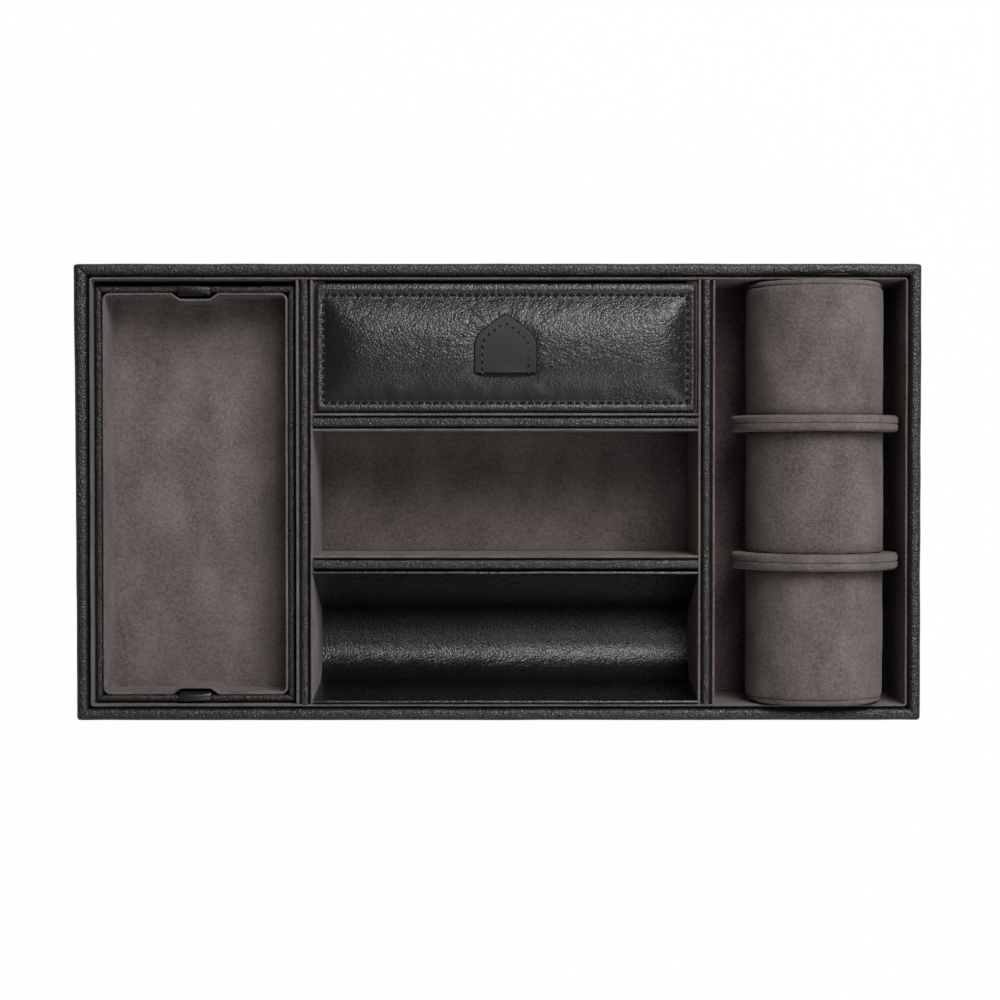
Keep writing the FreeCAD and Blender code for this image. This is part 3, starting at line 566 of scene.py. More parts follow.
def spaced(points: Sequence[tuple[float, float]], gap: float) -> Outline:
    """Divides the long edges of a closed outline.

    Args:
        points: The outline.
        gap: The longest edge that may stay.

    Returns:
        The outline with more points.
    """
    result: Outline = []
    for start, end in zip(points, [*points[1:], points[0]]):
        pieces = max(1, math.ceil(math.dist(start, end) / gap))
        result += [(start[0] + (end[0] - start[0]) * step / pieces,
                    start[1] + (end[1] - start[1]) * step / pieces) for step in range(pieces)]
    return result


def even_steps(start: float, end: float, gap: float) -> list[float]:
    """Evenly spaced values from start to end, no further apart than gap."""
    count = max(1, math.ceil(abs(end - start) / gap))
    return [start + (end - start) * step / count for step in range(count + 1)]


def edge_steps(half: float, edge: float, gap: float) -> list[float]:
    """Values from -half to half, crowded within an edge's width of both ends.

    Args:
        half: The half width.
        edge: The width that gets the finer steps.
        gap: The step elsewhere.

    Returns:
        The values in order.
    """
    near = [half - edge * share for share in (0.0, 0.06, 0.18, 0.36, 0.6)]
    middle = even_steps(-(half - edge), half - edge, gap)
    return [-value for value in near] + middle + near[::-1]


@dataclass(frozen=True)
class Station:
    """One stop of a sweep: where the outline's zero lies and which ways it runs."""

    at: Vector
    across: Vector
    up: Vector = UP

    def point(self, across: float, up: float) -> Vector:
        """A point of the outline, set at this stop."""
        return self.at + self.across * across + self.up * up


def loft(name: str, rings: Sequence[Sequence[Vector]], closed: bool = False) -> bpy.types.Object:
    """Skins a row of rings with the same number of points each.

    Args:
        name: The piece's name.
        rings: The rings in order.
        closed: Whether the last ring joins the first. If not, both ends are capped.

    Returns:
        The new object, its faces pointing outwards.
    """
    count = len(rings[0])
    points = [point for ring in rings for point in ring]
    faces: list[tuple[int, ...]] = []
    for ring in range(len(rings) if closed else len(rings) - 1):
        start, after = ring * count, (ring + 1) % len(rings) * count
        faces += [(start + index, start + (index + 1) % count,
                   after + (index + 1) % count, after + index) for index in range(count)]
    if not closed:
        faces += [tuple(range(count)), tuple(range(len(points) - count, len(points)))]
    return new_object(name, points, faces)


def new_object(name: str, points: Sequence[Vector], faces: Sequence[Sequence[int]]) -> bpy.types.Object:
    """Makes a mesh object at the origin, merges its doubles and points its faces outwards.

    Args:
        name: The piece's name.
        points: Its points.
        faces: The points of each face.

    Returns:
        The new object.
    """
    mesh = bpy.data.meshes.new(name)
    mesh.from_pydata([tuple(point) for point in points], [], faces)
    work = bmesh.new()
    work.from_mesh(mesh)
    bmesh.ops.remove_doubles(work, verts=work.verts, dist=1e-6)
    bmesh.ops.recalc_face_normals(work, faces=work.faces)
    work.to_mesh(mesh)
    work.free()
    obj = bpy.data.objects.new(name, mesh)
    bpy.context.scene.collection.objects.link(obj)
    return obj


def sweep(name: str, outline: Outline, stations: Sequence[Station], closed: bool = False) -> bpy.types.Object:
    """Carries an outline through some stations."""
    rings = [[station.point(*point) for point in outline] for station in stations]
    return loft(name, rings, closed)


def loop_stations(path: Outline, height: float = 0.0) -> list[Station]:
    """Stations round a closed path in plan, with "across" pointing into it.

    Args:
        path: The path, anticlockwise.
        height: The height of the outline's zero.

    Returns:
        A station for each point, its across lengthened so that walls keep their thickness at corners.
    """
    stations = []
    for index, point in enumerate(path):
        here = Vector(point)
        back = (here - Vector(path[index - 1])).normalized()
        ahead = (Vector(path[(index + 1) % len(path)]) - here).normalized()
        inward = [Vector((-way.y, way.x)) for way in (back, ahead)]
        middle = (inward[0] + inward[1]) / (1 + inward[0].dot(inward[1]))
        stations.append(Station(Vector((*here, height)), Vector((*middle, 0.0))))
    return stations


def straight_stations(start: Vector, end: Vector, across: Vector, gap: float,
                      up: Vector = UP) -> list[Station]:
    """Stations along a straight line."""
    run = (end - start).length
    return [Station(start.lerp(end, distance / run), across, up)
            for distance in even_steps(0.0, run, gap)]


def waver(obj: bpy.types.Object, amount: float, size: float, seed: int,
          weights: Sequence[float] = (1.0, 1.0, 1.0)) -> bpy.types.Object:
    """Moves a mesh's points a little, smoothly, so that it looks made by hand.

    Args:
        obj: The piece.
        amount: The furthest that a point moves along an axis.
        size: Over what distance the movement changes.
        seed: Which movement of many.
        weights: The share of the amount along each axis.

    Returns:
        The piece.
    """
    shift = Vector((seed * 1.37, seed * 2.11, seed * 0.73))
    for vertex in obj.data.vertices:
        move = noise.noise_vector(vertex.co / size + shift)
        vertex.co += Vector([part * weight * amount for part, weight in zip(move, weights)])
    return obj


def round_over(depth: float, radius: float) -> float:
    """How far a quarter-round edge drops at a depth in from its face."""
    if depth >= radius:
        return 0.0
    return radius - math.sqrt(max(0.0, radius ** 2 - (radius - depth) ** 2))


def upholstered(name: str, extent: Extent, corner: float, gap: float,
                height: Callable[[float, float, float], float], edge: float) -> bpy.types.Object:
    """A pad: a fine grid for its top, walls and a flat underside.

    Args:
        name: The piece's name.
        extent: Its box.
        corner: The radius of its corners in plan.
        gap: The grid's step.
        height: The top's height at (x, y, depth in from the edge), with x and y from the middle.
        edge: The width of the finer steps near the edge.

    Returns:
        The new object.
    """
    half, centre = extent.half, extent.centre
    columns, rows = edge_steps(half.x, edge, gap), edge_steps(half.y, edge, gap)
    points: list[Vector] = []
    for y in rows:
        for x in columns:
            depth = min(half.x - abs(x), half.y - abs(y))
            top = height(x, y, depth)
            spot = Vector((x, y))
            heart = Vector((math.copysign(half.x - corner, x), math.copysign(half.y - corner, y)))
            out = spot - heart
            if abs(x) > abs(heart.x) and abs(y) > abs(heart.y) and out.length > 0:
                spot = heart + out * (max(abs(out.x), abs(out.y)) / out.length)
            points.append(Vector((centre.x + spot.x, centre.y + spot.y, top)))
    wide, deep = len(columns), len(rows)
    faces = [(row * wide + column, row * wide + column + 1,
              (row + 1) * wide + column + 1, (row + 1) * wide + column)
             for row in range(deep - 1) for column in range(wide - 1)]
    rim = ([column for column in range(wide)] + [row * wide + wide - 1 for row in range(1, deep)]
           + [(deep - 1) * wide + column for column in range(wide - 2, -1, -1)]
           + [row * wide for row in range(deep - 2, 0, -1)])
    first = len(points)
    points += [Vector((points[index].x, points[index].y, extent.low.z)) for index in rim]
    count = len(rim)
    faces += [(rim[index], rim[(index + 1) % count], first + (index + 1) % count, first + index)
              for index in range(count)]
    faces.append(tuple(range(first, first + count)))
    return new_object(name, points, faces)


def soft_block(name: str, extent: Extent, corner: float, edge: float, crown: float = 0.0,
               gap: float = 4 * MM) -> bpy.types.Object:
    """A covered block with rounded edges and a slightly crowned top.

    Args:
        name: The piece's name.
        extent: Its box, whose top the crown reaches.
        corner: The radius of its corners in plan.
        edge: The radius of its top edges.
        crown: How much higher the middle is than the edges.
        gap: The grid's step.

    Returns:
        The new object.
    """
    half = extent.half

    def height(x: float, y: float, depth: float) -> float:
        """The block's top."""
        swell = (1 - abs(x / half.x) ** 4) * (1 - abs(y / half.y) ** 4)
        return extent.high.z - crown * (1 - swell) - round_over(depth, edge)

    return upholstered(name, extent, corner, gap, height, edge)


def inflate(obj: bpy.types.Object, held: Iterable[int], pressure: float, cap: float,
            spare: float = 0.0) -> bpy.types.Object:
    """Puffs a piece up with Blender's cloth, from the inside, where it isn't held.

    The cloth is ten times life size while it moves, which is the size that its springs suit.

    Args:
        obj: The piece.
        held: The points that stay where they are.
        pressure: The cloth's inner pressure.
        cap: What no point may move further than, and comes near only by a long pull.
        spare: The share by which the cover is larger than what it covers.

    Returns:
        The piece, with the result in its mesh.
    """
    scale, frames = 10.0, 20
    start = [vertex.co.copy() for vertex in obj.data.vertices]
    for vertex in obj.data.vertices:
        vertex.co *= scale
    group = obj.vertex_groups.new(name="held")
    group.add(list(held), 1.0, "REPLACE")
    cloth = obj.modifiers.new("cover", "CLOTH")
    settings = cloth.settings
    settings.quality = 4
    settings.vertex_group_mass = group.name
    settings.use_pressure = True
    settings.uniform_pressure_force = pressure
    settings.shrink_min = -spare
    settings.effector_weights.gravity = 0.0
    scene = bpy.context.scene
    for number in range(1, frames + 1):
        scene.frame_set(number)
    moved = obj.evaluated_get(bpy.context.evaluated_depsgraph_get())
    found = [vertex.co / scale for vertex in moved.data.vertices]
    obj.modifiers.remove(cloth)
    obj.vertex_groups.remove(group)
    scene.frame_set(1)
    for vertex, before, after in zip(obj.data.vertices, start, found):
        move = after - before
        vertex.co = before + move * (cap / (cap + move.length))
    obj.data.update()
    return obj


def dress(obj: bpy.types.Object, body: Body, finish: Finish, *nodes: str,
          fill: float | None = None, sharp: float = 55.0) -> bpy.types.Object:
    """Gives a finished piece its material and its body, and hides the CAD nodes that it stands for.

    Args:
        obj: The piece.
        body: The body that it rides on.
        finish: Its finish.
        nodes: The CAD nodes that it replaces.
        fill: How full it is, for a padded piece; not used.
        sharp: The angle in degrees above which an edge stays crisp.

    Returns:
        The piece.
    """
    obj.data.materials.clear()
    obj.data.materials.append(finish.material())
    obj.data.shade_smooth()
    obj.data.set_sharp_from_angle(angle=math.radians(sharp))
    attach(obj, body.value)
    if nodes:
        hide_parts(*nodes)
    LOG.info("%s rides on %s, %d faces", obj.name, body.value, len(obj.data.polygons))
    return obj


def keep_node(finish: Finish, *nodes: str) -> None:
    """Keeps CAD nodes whose shape is right and gives them a finish.

    Args:
        finish: Their finish.
        nodes: Their names.
    """
    for node in nodes:
        obj = frame["nodes"][node]
        obj.data.materials.clear()
        obj.data.materials.append(finish.material())
        LOG.info("%s keeps its CAD shape", node)


# Repeated details


class StitchNodes:
    """Geometry nodes that lay small rounded beads along a line: thread stitches, or near-black beads that paint the
    shade of each needle hole.
    """

    def __init__(self) -> None:
        """Builds the tree with its named inputs."""
        self.tree = bpy.data.node_groups.new("beads_along_line", "GeometryNodeTree")
        face = self.tree.interface
        face.new_socket("Line", in_out="INPUT", socket_type="NodeSocketGeometry")
        self.ids = {
            name: face.new_socket(name, in_out="INPUT", socket_type=kind).identifier
            for name, kind in (("Pitch", "NodeSocketFloat"), ("Length", "NodeSocketFloat"),
                               ("Width", "NodeSocketFloat"), ("Height", "NodeSocketFloat"),
                               ("Slant", "NodeSocketFloat"), ("Seed", "NodeSocketInt"),
                               ("Material", "NodeSocketMaterial"))
        }
        face.new_socket("Beads", in_out="OUTPUT", socket_type="NodeSocketGeometry")
        self._fill()

    def _add(self, kind: str, settings: dict[str, Any] | None = None,
             **links: bpy.types.NodeSocket) -> bpy.types.Node:
        """Adds a node, sets it up and links its inputs, named with _ for spaces."""
        made = self.tree.nodes.new(kind)
        for name, value in (settings or {}).items():
            setattr(made, name, value)
        for name, socket in links.items():
            self.tree.links.new(socket, made.inputs[name.replace("_", " ")])
        return made

    def _fill(self) -> None:
        """Lays the tree: line, evenly spaced points, beads turned along it, made real and painted."""
        given = self._add("NodeGroupInput").outputs
        line = self._add("GeometryNodeMeshToCurve", None, Mesh=given["Line"])
        points = self._add("GeometryNodeResampleCurve", {"mode": "LENGTH"},
                           Curve=line.outputs[0], Length=given["Pitch"])
        size = self._add("ShaderNodeCombineXYZ", None, X=given["Length"], Y=given["Width"],
                         Z=given["Height"])
        ball = self._add("GeometryNodeMeshUVSphere")
        ball.inputs["Segments"].default_value = 8
        ball.inputs["Rings"].default_value = 6
        ball.inputs["Radius"].default_value = 0.5
        bead = self._add("GeometryNodeTransform", None, Geometry=ball.outputs["Mesh"],
                         Scale=size.outputs[0])
        tangent = self._add("GeometryNodeInputTangent")
        along = self._add("FunctionNodeAlignRotationToVector", {"axis": "X"},
                          Vector=tangent.outputs[0])
        jitter = self._add("FunctionNodeRandomValue", {"data_type": "FLOAT"}, Seed=given["Seed"])
        jitter.inputs[2].default_value = 0.85
        jitter.inputs[3].default_value = 1.15
        turn = self._add("ShaderNodeMath", {"operation": "MULTIPLY"})
        self.tree.links.new(given["Slant"], turn.inputs[0])
        self.tree.links.new(jitter.outputs[1], turn.inputs[1])
        about = self._add("FunctionNodeAxisAngleToRotation", None, Angle=turn.outputs[0])
        about.inputs["Axis"].default_value = (0.0, 0.0, 1.0)
        slanted = self._add("FunctionNodeRotateRotation", {"rotation_space": "LOCAL"},
                            Rotation=along.outputs[0], Rotate_By=about.outputs[0])
        beads = self._add("GeometryNodeInstanceOnPoints", None, Points=points.outputs[0],
                          Instance=bead.outputs[0], Rotation=slanted.outputs[0],
                          Scale=jitter.outputs[1])
        real = self._add("GeometryNodeRealizeInstances", None, Geometry=beads.outputs[0])
        painted = self._add("GeometryNodeSetMaterial", None, Geometry=real.outputs[0],
                            Material=given["Material"])
        self._add("NodeGroupOutput", None, Beads=painted.outputs[0])

    def lay(self, name: str, line: Sequence[Vector], closed: bool, finish: Finish, pitch: float,
            size: tuple[float, float, float], slant: float, seed: int) -> bpy.types.Object:
        """Lays beads along a line.

        Args:
            name: The new piece's name.
            line: The line's points.
            closed: Whether the line is a loop.
            finish: The beads' finish.
            pitch: The distance from one bead to the next.
            size: A bead's length, width and height.
            slant: How far the beads turn from the line, in radians.
            seed: The seed of their small differences.

        Returns:
            The beads as one plain mesh.
        """
        count = len(line)
        edges = [(index, (index + 1) % count) for index in range(count if closed else count - 1)]
        mesh = bpy.data.meshes.new(name + "_line")
        mesh.from_pydata([tuple(point) for point in line], edges, [])
        holder = bpy.data.objects.new(name + "_line", mesh)
        bpy.context.scene.collection.objects.link(holder)
        modifier = holder.modifiers.new("beads", "NODES")
        modifier.node_group = self.tree
        values = {"Pitch": pitch, "Length": size[0], "Width": size[1], "Height": size[2],
                  "Slant": slant, "Seed": seed, "Material": finish.material()}
        for key, value in values.items():
            modifier[self.ids[key]] = value
        graph = bpy.context.evaluated_depsgraph_get()
        result = bpy.data.meshes.new_from_object(holder.evaluated_get(graph))
        bpy.data.objects.remove(holder)
        result.name = name
        obj = bpy.data.objects.new(name, result)
        bpy.context.scene.collection.objects.link(obj)
        return obj


# The case


@dataclass
class MitredWrap:
    """Leather round four boards, in four bars that meet in mitres.

    Attributes:
        name: The pieces' first name.
        extent: The box round the whole wrap.
        wall: The thickness of the wrapped wall.
        skin: The leather's thickness.
        flap: How far the leather comes down inside.
        hem: How far it turns in underneath.
        edge: The radius of its top edges.
        corner: The radius of its outer corners in plan.
        seam: The depth of the crease at each mitre.
        puff: How far its top rounds up.
        lean: How far its left side leans outwards at the back.
    """

    name: str
    extent: Extent
    wall: float
    skin: float
    flap: float
    hem: float
    edge: float
    corner: float
    seam: float = 0.22 * MM
    puff: float = 0.4 * MM
    lean: float = 0.0

    def section(self) -> Outline:
        """The leather's section: (distance in from the outer face, height)."""
        bottom, top = self.extent.low.z, self.extent.high.z
        inner = max(0.0, self.edge - self.skin)
        corners = [
            (self.skin + self.hem, bottom, 0.0), (0.0, bottom, 0.4 * MM), (0.0, top, self.edge),
            (self.wall, top, self.edge), (self.wall, top - self.flap, 0.0),
            (self.wall - self.skin, top - self.flap, 0.0),
            (self.wall - self.skin, top - self.skin, inner), (self.skin, top - self.skin, inner),
            (self.skin, bottom + self.skin, 0.0), (self.skin + self.hem, bottom + self.skin, 0.0),
        ]
        return spaced(rounded(corners), 3 * MM)

    def bar(self, side: Side) -> bpy.types.Object:
        """Makes the bar on one side.

        Args:
            side: Which side of the box it is on.

        Returns:
            The bar, slightly uneven, creased at its mitres and rounded at its outer corners.
        """
        half, centre = self.extent.half, self.extent.centre
        outer = abs(side.outward.x) * half.x + abs(side.outward.y) * half.y
        run = abs(side.along.x) * half.x + abs(side.along.y) * half.y
        middle = Vector((centre.x, centre.y, 0.0)) + side.outward * outer
        stations = [Station(middle + side.along * distance, -side.outward - side.along * distance / run)
                    for distance in edge_steps(run, 3 * MM, 2.2 * MM)]
        obj = sweep(f"{self.name}_{side.label}", self.section(), stations)
        top = self.extent.high.z
        for vertex in obj.data.vertices:
            spot = vertex.co - centre
            inset = outer - spot.dot(side.outward)
            from_mitre = run - inset - abs(spot.dot(side.along))
            above = max(0.0, 1 - (top - vertex.co.z) / (2 * self.edge))
            share = min(1.0, max(0.0, inset / self.wall))
            crown = self.puff * (math.sin(math.pi * share) - 1)
            dip = self.seam * max(0.0, 1 - from_mitre / (0.9 * MM)) ** 2
            vertex.co.z += above * (crown - dip)
            self._round_corner(vertex, half, centre)
            outermost = min(1.0, max(0.0, 1 - (half.x + spot.x) / self.wall))
            rearward = max(0.0, 0.5 + spot.y / (2 * half.y))
            vertex.co.x -= self.lean * outermost * rearward ** 2 * (vertex.co.z - self.extent.low.z) / (2 * half.z)
        return waver(obj, 0.16 * MM, 16 * MM, len(self.name) + len(side.label))

    def _round_corner(self, vertex: bpy.types.MeshVertex, half: Vector, centre: Vector) -> None:
        """Draws a point that is outside the rounded corner back onto it."""
        spot = vertex.co - centre
        heart = Vector((math.copysign(half.x - self.corner, spot.x),
                        math.copysign(half.y - self.corner, spot.y)))
        out = spot.xy - heart
        if abs(spot.x) > abs(heart.x) and abs(spot.y) > abs(heart.y) and out.length > self.corner:
            drawn = centre.xy + heart + out * (self.corner / out.length)
            vertex.co.x, vertex.co.y = drawn.x, drawn.y


@dataclass
class Case:
    """The fixed case: frame, linings, dividers, floors, trough and base."""

    skin: float = 0.7 * MM
    wall: float = 5.2 * MM
    edge: float = 1.8 * MM
    flap: float = 12 * MM
    hem: float = 6 * MM
    corner: float = 1.8 * MM
    strip_edge: float = 0.5 * MM
    groove: float = 0.7 * MM
    divider_skin: float = 0.6 * MM
    divider_edge: float = 1.4 * MM
    divider_flap: float = 10 * MM
    pad_edge: float = 0.5 * MM
    pad_crown: float = 0.5 * MM
    pad_reach: float = 0.3 * MM
    trough: "Trough" = field(default_factory=lambda: Trough())

    def build(self) -> None:
        """Builds and dresses every piece of the case."""
        self.build_frame()
        self.build_lining()
        self.build_divider("left_divider", ("left", "right"))
        self.build_divider("right_divider", ("left", "right"))
        self.build_divider("rear_cross_divider", ("front", "rear"))
        self.build_divider("front_cross_divider", ("rear",))
        self.build_floors()
        self.build_ledges()
        self.trough.build()
        cover = soft_block("base_felt", Extent.of("base_cover"), self.corner, 0.3 * MM, gap=12 * MM)
        dress(cover, Body.CASE, FELT, "base_cover")
        keep_node(BOARD, "base_board", *(f"frame_board_{side.label}" for side in Side))

    def build_frame(self) -> None:
        """Wraps the four outer boards."""
        names = {side: f"frame_leather_{side.label}" for side in Side}
        wrap = MitredWrap("frame_wrap", Extent.of(*names.values()), self.wall, self.skin, self.flap,
                          self.hem, self.edge, self.corner, lean=0.9 * MM)
        for side, node in names.items():
            dress(wrap.bar(side), Body.CASE, FRAME_LEATHER, node)

    def build_lining(self) -> None:
        """Lays the suede strip round the inside of the frame."""
        extent = Extent.of("frame_lining")
        inner = Extent.of("left_divider_leather")
        thick = extent.high.y - inner.high.y
        path = plan_path(extent, thick + 0.4 * MM, 5 * MM)
        section = strip_section(thick, extent.high.z - extent.low.z, self.strip_edge, self.groove)
        obj = sweep("frame_suede", section, loop_stations(path, extent.low.z), closed=True)
        dress(waver(obj, 0.1 * MM, 22 * MM, 4), Body.CASE, SUEDE, "frame_lining")

    def build_divider(self, name: str, lined: Sequence[str]) -> None:
        """Folds leather over a divider's board and lines its sides.

        Args:
            name: The divider's first name in the CAD nodes.
            lined: The sides that have a suede strip.
        """
        fold = Extent.of(f"{name}_leather")
        along_y = fold.half.y > fold.half.x
        wide = fold.half.x if along_y else fold.half.y
        skin, down = self.divider_skin, self.divider_flap
        inner = self.divider_edge - skin
        section = spaced(rounded([
            (-wide, -down, 0.0), (-wide, 0.0, self.divider_edge), (wide, 0.0, self.divider_edge),
            (wide, -down, 0.0), (wide - skin, -down, 0.0), (wide - skin, -skin, inner),
            (skin - wide, -skin, inner), (skin - wide, -down, 0.0)]), 3 * MM)
        obj = sweep(f"{name}_fold", section, self._run(fold, along_y, fold.high.z))
        waver(obj, 0.14 * MM, 14 * MM, len(name))
        dress(obj, Body.CASE, FRAME_LEATHER, f"{name}_leather")
        for side in lined:
            node = f"{name}_lining_{side}"
            strip = Extent.of(node)
            thick = 2 * (strip.half.x if along_y else strip.half.y)
            section = strip_section(thick, strip.high.z - strip.low.z, self.strip_edge, self.groove * 0.6)
            turn = -1 if side in ("left", "front") else 1
            outline = [((across - thick / 2) * turn, up) for across, up in section]
            lining = sweep(f"{name}_suede_{side}", outline, self._run(strip, along_y, strip.low.z))
            dress(waver(lining, 0.07 * MM, 22 * MM, 7), Body.CASE, SUEDE, node)
        keep_node(BOARD, f"{name}_board")

    @staticmethod
    def _run(extent: Extent, along_y: bool, height: float) -> list[Station]:
        """Stations along the middle of a long box."""
        centre = extent.centre
        if along_y:
            start, end = Vector((centre.x, extent.low.y, height)), Vector((centre.x, extent.high.y, height))
            return straight_stations(start, end, Vector((1.0, 0.0, 0.0)), 2.5 * MM)
        start, end = Vector((extent.low.x, centre.y, height)), Vector((extent.high.x, centre.y, height))
        return straight_stations(start, end, Vector((0.0, 1.0, 0.0)), 2.5 * MM)

    def build_floors(self) -> None:
        """Lays the padded floors."""
        for node in ("left_floor_pad", "lid_bay_floor_pad", "middle_floor_pad", "cuff_floor_pad"):
            extent = Extent.of(node).widened(self.pad_reach)
            pad = soft_block(f"{node}_suede", extent, 0.6 * MM, self.pad_edge, self.pad_crown)
            dress(waver(pad, 0.08 * MM, 18 * MM, 3), Body.CASE, SUEDE, node, fill=0.8)

    def build_ledges(self) -> None:
        """Covers the pairs of ledges under the lift-out tray and under the lid."""
        tray, lid = Extent.of("insert_ledges"), Extent.of("lid_ledges")
        for name, deep, low_y in (("front", 6 * MM, tray.low.y), ("rear", 6 * MM, tray.high.y - 6 * MM)):
            low = Vector((tray.low.x, low_y, tray.low.z))
            high = Vector((tray.high.x, low_y + deep, tray.high.z))
            block = soft_block(f"tray_ledge_{name}", Extent(low, high), 0.4 * MM, 0.5 * MM)
            dress(block, Body.CASE, SUEDE, "insert_ledges")
        for name, wide, low_x in (("left", 5 * MM, lid.low.x), ("right", 5 * MM, lid.high.x - 5 * MM)):
            low = Vector((low_x, lid.low.y, lid.low.z))
            high = Vector((low_x + wide, lid.high.y, lid.high.z))
            block = soft_block(f"lid_ledge_{name}", Extent(low, high), 0.4 * MM, 0.5 * MM)
            dress(block, Body.CASE, SUEDE, "lid_ledges")


def plan_path(extent: Extent, corner: float, gap: float) -> Outline:
    """A rounded rectangle round a box in plan, anticlockwise, with its long edges divided."""
    low, high = extent.low, extent.high
    corners = [(low.x, low.y, corner), (high.x, low.y, corner), (high.x, high.y, corner),
               (low.x, high.y, corner)]
    return spaced(rounded(corners), gap)


def strip_section(thick: float, tall: float, edge: float, groove: float) -> Outline:
    """An upright strip's section with a rounded top, from its outer face inwards.

    Args:
        thick: The strip's thickness.
        tall: Its height.
        edge: The radius of its top edges.
        groove: How far its outer face steps back near the top, which leaves a dark line.

    Returns:
        The section.
    """
    step = tall - 2.6 * MM
    corners = [(0.0, 0.0, 0.0), (0.0, step, 0.0), (groove, step + 0.6 * MM, 0.0), (groove, tall, edge),
               (thick, tall, edge), (thick, 0.0, 0.0)]
    return spaced(rounded(corners, 4), 6 * MM)


@dataclass
class Trough:
    """The leather sling: two flanks that run into one round bottom.

    Attributes:
        skin: The sling's thickness.
        roundness: The bottom's radius as a share of half the mouth.
        lean: How far the bottom lies in front of the middle, as a share of half the mouth.
    """

    skin: float = 1.6 * MM
    roundness: float = 0.65
    lean: float = 0.217

    def line(self, half_mouth: float, depth: float, steps: int = 26) -> list[tuple[Vector, Vector]]:
        """The sling's inner line from the front lip to the rear lip.

        Args:
            half_mouth: Half of the distance between the lips.
            depth: The depth of the lowest point under the lips.
            steps: The number of short edges in the round bottom.

        Returns:
            Points in the section, each with the way out through the leather.
        """
        radius = half_mouth * self.roundness
        heart = Vector((-half_mouth * self.lean, radius - depth))
        ends = []
        for side, turn in ((-1, 1), (1, -1)):
            lip = Vector((side * half_mouth, 0.0))
            away = lip - heart
            angle = math.atan2(away.y, away.x) + turn * math.acos(radius / away.length)
            ends.append((lip, angle))
        (front, first), (rear, last) = ends
        last -= 0.0 if last < first else math.tau
        first_turn = first if first > last else first + math.tau
        arc = []
        for step in range(steps + 1):
            angle = first_turn + (last + math.tau - first_turn) * step / steps
            out = Vector((math.cos(angle), math.sin(angle)))
            arc.append((heart + out * radius, out))
        start = [(front.lerp(arc[0][0], share), arc[0][1]) for share in even_steps(0.0, 0.92, 0.08)]
        end = [(arc[-1][0].lerp(rear, share), arc[-1][1]) for share in even_steps(0.08, 1.0, 0.08)]
        return start + arc + end

    def build(self) -> None:
        """Builds and dresses the sling."""
        extent = Extent.of("trough_sling")
        top = extent.high.z
        depth = top - extent.low.z - self.skin
        half_mouth = extent.half.y - self.skin
        centre = extent.centre
        inner = self.line(half_mouth, depth)
        bead = self.skin * 0.5
        outline = [tuple(point) for point, _ in inner]
        lip_rear, out_rear = inner[-1]
        lip_front, out_front = inner[0]
        outline += self._lip(lip_rear, out_rear, bead)
        outline += [tuple(point + out * self.skin) for point, out in reversed(inner)]
        outline += self._lip(lip_front, out_front, bead)[::-1]
        stations = straight_stations(Vector((extent.low.x, centre.y, top)),
                                     Vector((extent.high.x, centre.y, top)), Vector((0, 1, 0)), 2 * MM)
        obj = sweep("trough_leather", outline, stations)
        waver(obj, 0.16 * MM, 20 * MM, 11, (0.0, 1.0, 1.0))
        dress(obj, Body.CASE, TROUGH_LEATHER, "trough_sling")

    @staticmethod
    def _lip(lip: Vector, out: Vector, radius: float) -> Outline:
        """The half-round edge of the sling, from its inner face to its outer one."""
        heart = lip + out * radius
        rise = Vector((-out.y, out.x)) if -out.y * 0 + out.x > 0 else Vector((out.y, -out.x))
        return [tuple(heart - out * radius * math.cos(turn) + rise * radius * math.sin(turn))
                for turn in (math.pi * step / 6 for step in range(1, 6))]


# The lift-out tray


